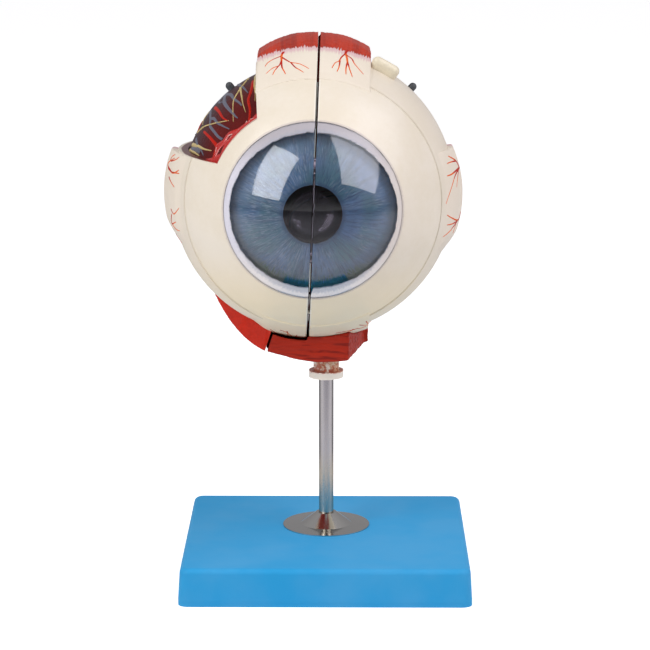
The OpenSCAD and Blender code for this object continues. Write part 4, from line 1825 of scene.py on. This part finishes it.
MUSCLE_OUTER = (
    Stroke(((168.6, 168.5), (168, 164), (170, 161), (175, 158)), 0.8),
    Stroke(((170.5, 160.6), (172, 156.6), (175.4, 154.4)), 0.5),
    Stroke(((171, 161), (175, 160), (179.4, 157)), 0.5),
    Stroke(((168.6, 168), (173, 173), (179, 170)), 0.9),
    Stroke(((172, 172.4), (176, 173), (179.4, 173.6)), 0.6),
    Stroke(((169, 177), (171, 182), (174.4, 187.4)), 0.6),
    Stroke(((171, 209), (174, 214), (179, 208)), 0.6),
    Stroke(((171.6, 214), (171.6, 222), (176, 229), (180, 231)), 0.6),
    Stroke(((172, 224), (176, 222)), 0.5),
    Stroke(((176, 234), (179, 239), (182, 243)), 0.5),
)
MUSCLE_INNER = (
    Stroke(((459.4, 168), (456, 161), (450, 157), (448, 156)), 0.8),
    Stroke(((455.6, 161), (451, 162), (447, 163.6)), 0.5),
    Stroke(((459, 168), (452, 174), (447, 176)), 0.8),
    Stroke(((458.6, 169), (455, 176), (452, 186), (446, 204)), 0.7),
    Stroke(((458.4, 170), (457.6, 178), (456.6, 187)), 0.5),
    Stroke(((460.6, 212), (458, 220), (452, 218), (447, 215)), 0.8),
    Stroke(((457.4, 221), (452, 224), (447, 225)), 0.6),
    Stroke(((456.6, 222), (450, 231), (443, 237)), 0.6),
    Stroke(((456, 223), (453, 233)), 0.5),
)
MUSCLE_LOWER_LEFT = (
    Stroke(((270, 329), (275, 333), (276.4, 337)), 0.5),
    Stroke(((273, 331), (278, 334), (283, 338)), 0.5),
    Stroke(((280, 330), (288, 333), (293, 338)), 0.6),
    Stroke(((287, 331), (288, 335), (288, 339)), 0.5),
    Stroke(((297, 335), (294, 339)), 0.4),
)
MUSCLE_LOWER_RIGHT = (
    Stroke(((336, 333), (347, 331), (356, 329)), 0.5),
    Stroke(((343, 334), (350, 331), (358, 328)), 0.4),
    Stroke(((352, 329.4), (361, 328), (368, 325)), 0.5),
    Stroke(((359, 325), (366, 325), (371, 321)), 0.5),
    Stroke(((366, 321), (368, 324)), 0.4),
)
WINDOW_REDS = (
    Stroke(
        (
            (262, 111),
            (253.3, 120),
            (249, 123.3),
            (240, 130.8),
            (233.3, 137.5),
            (226.7, 146.7),
            (219, 168),
        ),
        2.4,
        3.6,
    ),
    Stroke(
        ((252, 119), (242.5, 126.7), (236.7, 130.8), (229, 134), (223.3, 141.7), (216, 147)),
        1.2,
        2.2,
    ),
    Stroke(((190, 156), (200, 160.8), (208.3, 161.5), (214, 160), (221, 157)), 1.6, 3.2),
    Stroke(((203, 163), (212, 165), (221, 166)), 2.0, 3.0),
    Stroke(((228, 140), (219, 148), (214, 158)), 1.2, 2.0),
)
WINDOW_ARTERIES = (
    Stroke(
        ((204, 131.7), (209, 136.7), (214, 142.5), (216.7, 146.7), (215, 152.5), (213, 160)),
        1.0,
        1.8,
    ),
    Stroke(((215, 107.5), (219, 111.7), (222.5, 117.5), (228, 121)), 1.5, 0.5),
    Stroke(((253.3, 80.8), (250.8, 91.7), (248.3, 100), (250, 110), (249, 121)), 1.5, 0.9),
    Stroke(((229, 134.5), (232, 131.5), (238, 129)), 1.0, 0.5),
)
WINDOW_VEINS = (
    Stroke(
        ((210.4, 111), (210.4, 120), (210, 125.8), (214.2, 131.7), (218.3, 136.7), (222.5, 139.5)),
        1.4,
        1.0,
    ),
    Stroke(((210.4, 119), (214, 118.6), (217.5, 123), (223, 126), (229.5, 129.2)), 1.6, 0.4),
    Stroke(
        ((225.8, 93), (224, 101), (227.5, 107.5), (232.5, 113), (235, 116), (238, 118.3)), 1.9, 0.4
    ),
    Stroke(((225.8, 94.6), (230.8, 94.6), (234, 99), (239, 102.5), (242, 105.8)), 1.7, 0.6),
    Stroke(((238, 84.5), (243.3, 87.5), (248, 93)), 1.3, 0.4),
    Stroke(((196, 139), (198.3, 148.3), (201, 150), (203.5, 155.5)), 1.6, 0.4),
    Stroke(((191, 150), (195.5, 149.5), (200, 153)), 2.6, 1.0),
)
WINDOW_NERVES = (
    Stroke(((255.8, 76), (254.6, 84), (255.4, 93), (255, 101.7)), 1.4, 0.2),
    Stroke(
        ((248.5, 78.5), (242.5, 85.8), (238, 92.5), (234, 100), (233, 106.7), (233.4, 121.7)),
        1.0,
        0.25,
    ),
    Stroke(((240.2, 88), (241.7, 96.7), (243, 104), (245.8, 112.5)), 1.0, 0.2),
    Stroke(((197.5, 132.5), (204, 126.7), (210, 124.6), (218.3, 122.5), (229, 120.6)), 0.8, 0.3),
    Stroke(((192.5, 144.5), (198.3, 146.3), (204, 149), (212, 150.8)), 1.7, 0.3),
    Stroke(((190, 150), (195, 152.8), (199.4, 156)), 1.5, 0.4),
)
WINDOW_LINES = (
    Stroke(
        (
            (259.5, 112.5),
            (255, 118),
            (250.5, 119.6),
            (248.5, 124.5),
            (241, 129.8),
            (236, 133.6),
            (234, 139),
        ),
        0.45,
        0.35,
    ),
    Stroke(((234, 139), (227.5, 145.8), (222.8, 155)), 0.4, 0.3),
    Stroke(((232.5, 134), (227.5, 136.5), (226.2, 141), (229.5, 139.5), (231.5, 136)), 0.35, 0.25),
    Stroke(((216.9, 147.5), (215.6, 153), (213.8, 157.6)), 0.5, 0.3),
    Stroke(((254.6, 118.6), (252.6, 122.2), (255.6, 121), (256.4, 118.4)), 0.3, 0.25),
    Stroke(((247, 121), (243.5, 127), (240.5, 128.6)), 0.35, 0.2),
)
CHOROID_VEINS = (
    Stroke(((168, 50), (178, 44), (188, 42), (198, 45)), 2.4, 0.6),
    Stroke(((168, 50), (160, 44), (154, 36), (150, 26)), 2.2, 0.7),
    Stroke(((169, 49), (172, 38), (170, 29), (174, 21)), 2.0, 0.6),
    Stroke(((166, 51), (158, 52), (150, 49), (143, 44)), 2.0, 0.6),
    Stroke(((171, 42), (180, 37), (189, 34)), 1.5, 0.4),
    Stroke(((157, 40), (151, 39), (146, 34)), 1.4, 0.4),
)
CHOROID_ARTERIES = (
    Stroke(((141, 28), (152, 31), (163, 26), (175, 30), (187, 26)), 1.6, 0.6),
    Stroke(((152, 31), (160, 36), (168, 34)), 1.0, 0.4),
    Stroke(((146, 47), (155, 44), (164, 47)), 1.2, 0.4),
)
CHOROID_NERVES = (
    Stroke(((138, 35), (150, 41), (163, 39), (176, 33), (190, 30)), 1.3, 0.4),
    Stroke(((140, 23), (153, 24), (166, 22), (180, 24)), 1.2, 0.4),
)
RETINA_LEFT = (
    (
        Stroke(((94, 26), (108, 33), (124, 34), (140, 28), (152, 20)), 1.1, 0.4),
        Stroke(((94, -27), (110, -33), (126, -32), (142, -24)), 1.1, 0.4),
        Stroke(((112, 33), (124, 44), (140, 48)), 0.8, 0.3),
    ),
    (
        Stroke(((94, 22), (106, 27), (120, 27), (134, 20)), 1.3, 0.5),
        Stroke(((94, -23), (108, -27), (122, -25), (136, -16)), 1.3, 0.5),
        Stroke(((110, -28), (124, -40), (142, -44)), 0.9, 0.3),
    ),
)
RETINA_RIGHT = (
    (
        Stroke(((74, 4), (75, 14), (80, 22), (88, 26)), 1.5, 1.1),
        Stroke(((74, -4), (75, -14), (80, -22), (88, -27)), 1.5, 1.1),
        Stroke(((73, 4), (66, 18), (52, 30), (34, 36), (16, 34)), 1.4, 0.4),
        Stroke(((73, -4), (65, -17), (50, -30), (32, -35), (14, -32)), 1.4, 0.4),
        Stroke(((56, 27), (46, 44), (30, 54)), 0.9, 0.3),
        Stroke(((55, -27), (44, -42), (26, -50)), 0.9, 0.3),
        Stroke(((70, 1), (58, 5), (44, 3)), 0.8, 0.3),
    ),
    (
        Stroke(((75, 4), (77, 12), (82, 18), (88, 21)), 1.8, 1.3),
        Stroke(((75, -4), (77, -12), (82, -18), (88, -22)), 1.8, 1.3),
        Stroke(((72, 4), (62, 14), (46, 22), (28, 26), (10, 22)), 1.7, 0.5),
        Stroke(((72, -4), (61, -13), (44, -21), (26, -24), (8, -20)), 1.7, 0.5),
        Stroke(((48, 21), (36, 12), (22, 10)), 1.0, 0.3),
    ),
)


@dataclass
class Vessels:
    """Vessels and nerves painted on the muscles, the vascular coat and the retina."""

    shop: Workshop
    muscles: dict[str, bpy.types.Object]
    weight: float = 1.8
    window_weight: float = 1.35
    rise_mm: float = 0.2

    def build(self) -> None:
        """Lays every vessel."""
        left, right = Body.REMOVABLE, Body.FIXED
        coats = {left: self.shop.node("sclera_left"), right: self.shop.node("sclera_right")}
        plans = (
            ("upper_left", MUSCLE_UPPER_LEFT, left, "superior_rectus_left", False),
            ("upper_right", MUSCLE_UPPER_RIGHT, right, "superior_rectus_right", False),
            ("outer", MUSCLE_OUTER, left, "lateral_rectus", True),
            ("inner", MUSCLE_INNER, right, "medial_rectus", True),
            ("lower_left", MUSCLE_LOWER_LEFT, left, "inferior_rectus_left", True),
            ("lower_right", MUSCLE_LOWER_RIGHT, right, "inferior_rectus_right", True),
        )
        paints = [Paint.ARTERY, Paint.ARTERY_TIP]
        for name, strokes, body, muscle, on_coat in plans:
            carriers = (self.muscles[muscle], coats[body])[: 2 if on_coat else 1]
            skin = Skin.of(self.shop, *carriers)
            shape = bmesh.new()
            for stroke in strokes:
                skin.lay(shape, stroke.scaled(self.weight), self.rise_mm, skin.seen_at, (0, 1))
            mesh = to_mesh(shape, name)
            self.shop.piece(mesh, f"vessels_{name}", body, "muscle_bright_red", paints)
        self.build_window()
        self.build_inner()

    def build_inner(self) -> None:
        """Lays the vessels on the vascular coat's rear and on the retina."""
        outside = (
            ("choroid_rear_veins", CHOROID_VEINS, 0.36, "vein_grey", Paint.VEIN),
            ("choroid_rear_arteries", CHOROID_ARTERIES, 0.40, "muscle_bright_red", Paint.ARTERY),
            ("choroid_rear_nerves", CHOROID_NERVES, 0.48, "nerve_core", Paint.NERVE),
        )
        coat = Skin.of(self.shop, self.shop.node("choroid_left"))
        for name, strokes, rise, slot, paint in outside:
            shape = bmesh.new()
            for stroke in strokes:
                coat.lay(shape, stroke, rise, coat.outside_at)
            self.shop.piece(to_mesh(shape, name), name, Body.COATS_LEFT, slot, [paint])
        halves = (
            ("left", Body.COATS_LEFT, RETINA_LEFT),
            ("right", Body.COATS_RIGHT, RETINA_RIGHT),
        )
        for side, body, layers in halves:
            retina = Skin.of(self.shop, self.shop.node(f"retina_{side}"))
            shape = bmesh.new()
            for number, strokes in enumerate(layers):
                for stroke in strokes:
                    retina.lay(shape, stroke, self.rise_mm, retina.inside_at, (number, number))
            name = f"retina_vessels_{side}"
            paints = [Paint.ARTERY, Paint.RETINA_VEIN]
            self.shop.piece(to_mesh(shape, name), name, body, "muscle_dark_red", paints)

    def build_window(self) -> None:
        """Lays the vessels and nerves that show in the window."""
        skin = Skin.of(self.shop, self.shop.node("choroid_left"))
        layers = (
            ("window_reds", WINDOW_REDS, 0.45, "muscle_dark_red", Paint.COAT_RED),
            ("window_arteries", WINDOW_ARTERIES, 0.40, "muscle_bright_red", Paint.ARTERY),
            ("window_veins", WINDOW_VEINS, 0.36, "vein_grey", Paint.VEIN),
            ("window_nerves", WINDOW_NERVES, 0.48, "nerve_core", Paint.NERVE),
            ("window_lines", WINDOW_LINES, 0.5, "cream_resin", Paint.PALE_LINE),
        )
        for name, strokes, rise, slot, paint in layers:
            shape = bmesh.new()
            for stroke in strokes:
                skin.lay(shape, stroke.scaled(self.window_weight), rise, skin.seen_at)
            self.shop.piece(to_mesh(shape, name), name, Body.COATS_LEFT, slot, [paint])


@dataclass
class Muscles:
    """The muscle stubs.

    The lower oblique is cut across where its outside is the cut's distance left of the middle.
    Each face stands back from its cut by the saw's half width.
    """

    shop: Workshop
    cut: float = 18.5
    saw: float = 0.6
    pieces: dict[str, bpy.types.Object] = field(default_factory=dict)

    def build(self) -> None:
        """Casts every muscle."""
        straight = Relief(0.22, (0.9, 0.06, 0.9), from_angle=82.0)
        side = Relief(0.2, (0.9, 0.06, 0.9), from_angle=90.0)
        lateral = Relief(0.05, (0.05, 0.6, 0.6), turn=math.radians(-57))
        medial = Relief(0.38, (0.05, 0.5, 0.5), turn=math.radians(3))
        slot = "muscle_cream"
        smooth = Relief(0.0, (1.0, 1.0, 1.0))
        low_side = (Taper(2, -31.0, -14.0), Taper(1, -34.0, -22.0))
        low_left = (Taper(0, -32.5, -17.0),)
        lean = math.asin(self.cut / self.shop.eye.outer_r)
        bottom = Vector((-self.cut, 0, -self.shop.eye.outer_r))
        across = Vector((math.cos(lean), 0, -math.sin(lean)))
        plans = [
            SoftMuscle(
                "superior_oblique_tendon",
                Body.FIXED,
                "tendon",
                Paint.TENDON,
                smooth,
                voxel_mm=0.4,
                skin=3.6,
            ),
            SoftMuscle(
                "superior_rectus_left",
                Body.REMOVABLE,
                slot,
                Paint.MUSCLE_TOP,
                straight,
                cut=SawCut(Vector(), Vector((-1, 0, 0)), self.saw),
                cut_paint=Paint.FLESH_CUT,
            ),
            SoftMuscle(
                "superior_rectus_right",
                Body.FIXED,
                slot,
                Paint.MUSCLE_TOP,
                straight,
                cut=SawCut(
                    Vector(), Vector((1, 0, 0)), self.saw, lap=1.1, behind=-36.0, recess=1.6
                ),
                cut_paint=Paint.FLESH_CUT,
            ),
            SoftMuscle(
                "lateral_rectus", Body.REMOVABLE, slot, Paint.MUSCLE_SIDE, side, tapers=low_side
            ),
            SoftMuscle("medial_rectus", Body.FIXED, slot, Paint.MUSCLE_SIDE, side, tapers=low_side),
            SoftMuscle(
                "inferior_rectus_left",
                Body.REMOVABLE,
                slot,
                Paint.MUSCLE_LOW,
                side,
                tapers=low_left,
            ),
            SoftMuscle("inferior_rectus_right", Body.FIXED, slot, Paint.MUSCLE_LOW, side),
            SoftMuscle(
                "inferior_oblique_lateral",
                Body.REMOVABLE,
                "muscle_bright_red",
                Paint.FLESH_BRIGHT,
                lateral,
                voxel_mm=0.5,
                rounds=2,
                cut=SawCut(bottom, -across, self.saw),
                cut_paint=Paint.FLESH_CUT,
                pocket=(-34.5, 9.0),
            ),
            SoftMuscle(
                "inferior_oblique_medial",
                Body.FIXED,
                "muscle_dark_red",
                Paint.FLESH_DARK,
                medial,
                voxel_mm=0.5,
                rounds=2,
                skin=0.2,
                cut=SawCut(bottom, across, self.saw, lap=0.8, reach=6.5, spare=8.0),
                cut_paint=Paint.FLESH_CUT,
            ),
        ]
        for plan in plans:
            self.pieces[plan.node] = plan.build(self.shop)


# ---- Studio ----


@dataclass(frozen=True)
class SoftBox:
    """A soft box, aimed so that the clear dome mirrors it to four places of the photograph.

    The distance is in metres from the middle of the dome's ball.
    """

    name: str
    mirrored_at: tuple[Pixel, Pixel, Pixel, Pixel]
    distance: float
    radiance: float
    color: Rgb = (1.0, 1.0, 1.0)

    def build(self, shop: Workshop) -> None:
        """Adds the light.

        Args:
            shop: The workshop with the eyeball and the camera.
        """
        eye, camera = shop.eye, shop.camera
        dome = eye.place(0, -eye.dome_along, 0)
        corners = []
        for pixel in self.mirrored_at:
            normal = (camera.on_dome(pixel, eye) - dome).normalized()
            mirrored = camera.ray(pixel).reflect(normal).normalized()
            corners.append(dome + mirrored * self.distance)
        middle = sum(corners, Vector()) / 4
        facing = (dome - middle).normalized()
        wide = (corners[1] + corners[2] - corners[0] - corners[3]) / 2
        high = (corners[0] + corners[1] - corners[2] - corners[3]) / 2
        right = (wide - facing * wide.dot(facing)).normalized()
        up = (-facing).cross(right)
        light = bpy.data.lights.new(self.name, "AREA")
        light.shape = "RECTANGLE"
        light.size, light.size_y = wide.length, high.length
        light.energy = self.radiance * math.pi * light.size * light.size_y
        light.color = self.color
        lamp = bpy.data.objects.new(self.name, light)
        axes = Matrix((right, up, -facing)).transposed().to_4x4()
        lamp.matrix_world = Matrix.Translation(middle) @ axes
        bpy.context.scene.collection.objects.link(lamp)
        LOG.info("%s: %.2f x %.2f m at %s", self.name, wide.length, high.length, tuple(middle))


@dataclass(frozen=True)
class Studio:
    """A pale floor, a room that is dim behind the camera and the soft boxes.

    The camera sees the room and the floor pale all over. The floor ahead of the model is dim in
    mirror images only.
    """

    room_tone: Rgb = (0.98, 0.97, 1.0)
    room_strength: float = 0.44
    dim_part: float = 0.9
    floor_glow: float = 0.66
    floor_size: float = 8.0
    floor_roughness: float = 0.8
    floor_tone: Rgb = (0.80, 0.80, 0.80)
    dim_tone: Rgb = (0.30, 0.29, 0.33)
    front_zone: Pair = (0.45, 0.95)
    level_zone: Pair = (-0.05, 0.12)
    ahead_zone: Pair = (0.1, 0.5)
    boxes: tuple[SoftBox, ...] = (
        SoftBox("left_box", ((276, 147), (304, 161), (275, 199), (251, 194)), 1.3, 3.9),
        SoftBox(
            "right_box",
            ((323, 134), (365, 139), (379.5, 194), (345, 186.5)),
            1.5,
            2.7,
            (0.98, 0.96, 1.0),
        ),
    )

    def build(self, shop: Workshop) -> None:
        """Adds the room, the floor and the lights.

        Args:
            shop: The workshop with the eyeball and the camera.
        """
        self.build_room()
        self.build_floor()
        for box in self.boxes:
            box.build(shop)

    def build_room(self) -> None:
        """Lights the room from all sides, less from behind the camera."""
        world = bpy.data.worlds.new("room")
        world.use_nodes = True
        sketch = ShaderSketch(world.node_tree)
        background = world.node_tree.nodes["Background"]
        background.inputs["Color"].default_value = (*self.room_tone, 1.0)
        aim = sketch.split(sketch.node("ShaderNodeTexCoord").outputs["Object"])
        front = sketch.ramp(sketch.times(aim[1], -1.0), *self.front_zone)
        front = sketch.times(front, sketch.ramp(aim[2], *self.level_zone))
        dim = sketch.minus(1.0, sketch.times(front, self.dim_part))
        dim = sketch.times(dim, self.room_strength)
        seen = sketch.node("ShaderNodeLightPath").outputs["Is Camera Ray"]
        dim = sketch.plus(dim, sketch.times(seen, 1.0 - self.room_strength))
        sketch.fill(background.inputs["Strength"], dim)
        bpy.context.scene.world = world
        bpy.context.scene.view_settings.view_transform = "Standard"

    def build_floor(self) -> None:
        """Adds the floor."""
        shape = bmesh.new()
        bmesh.ops.create_grid(shape, x_segments=1, y_segments=1, size=self.floor_size / 2)
        floor = bpy.data.objects.new("floor", to_mesh(shape, "floor"))
        material = bpy.data.materials.new("floor_pale")
        material.use_nodes = True
        shader = material.node_tree.nodes["Principled BSDF"]
        shader.inputs["Roughness"].default_value = self.floor_roughness
        shader.inputs["Emission Color"].default_value = (1.0, 1.0, 1.0, 1.0)
        sketch = ShaderSketch(material.node_tree)
        path = sketch.node("ShaderNodeLightPath").outputs
        ahead = sketch.times(sketch.split(sketch.object_place())[1], -1.0)
        ahead = sketch.times(sketch.ramp(ahead, *self.ahead_zone), path["Is Glossy Ray"])
        pale = sketch.mix(ahead, self.floor_tone, self.dim_tone)
        sketch.fill(shader.inputs["Base Color"], pale)
        glow = sketch.times(path["Is Camera Ray"], self.floor_glow)
        sketch.fill(shader.inputs["Emission Strength"], glow)
        floor.data.materials.append(material)
        bpy.context.scene.collection.objects.link(floor)


def main() -> None:
    """Builds the whole scene."""
    logging.basicConfig(level=logging.INFO, format="%(name)s: %(message)s")
    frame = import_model()
    shop = Workshop(frame, Eyeball.from_frame(), PhotoCamera())
    shop.camera.build()
    Studio().build(shop)
    Stand(shop).dress()
    Coats(shop).dress()
    muscles = Muscles(shop)
    muscles.build()
    Dome(shop).build()
    Vessels(shop, muscles.pieces).build()
    for name in shop.made:
        LOG.info("finished %s", name)


if __name__ == "__main__":
    main()
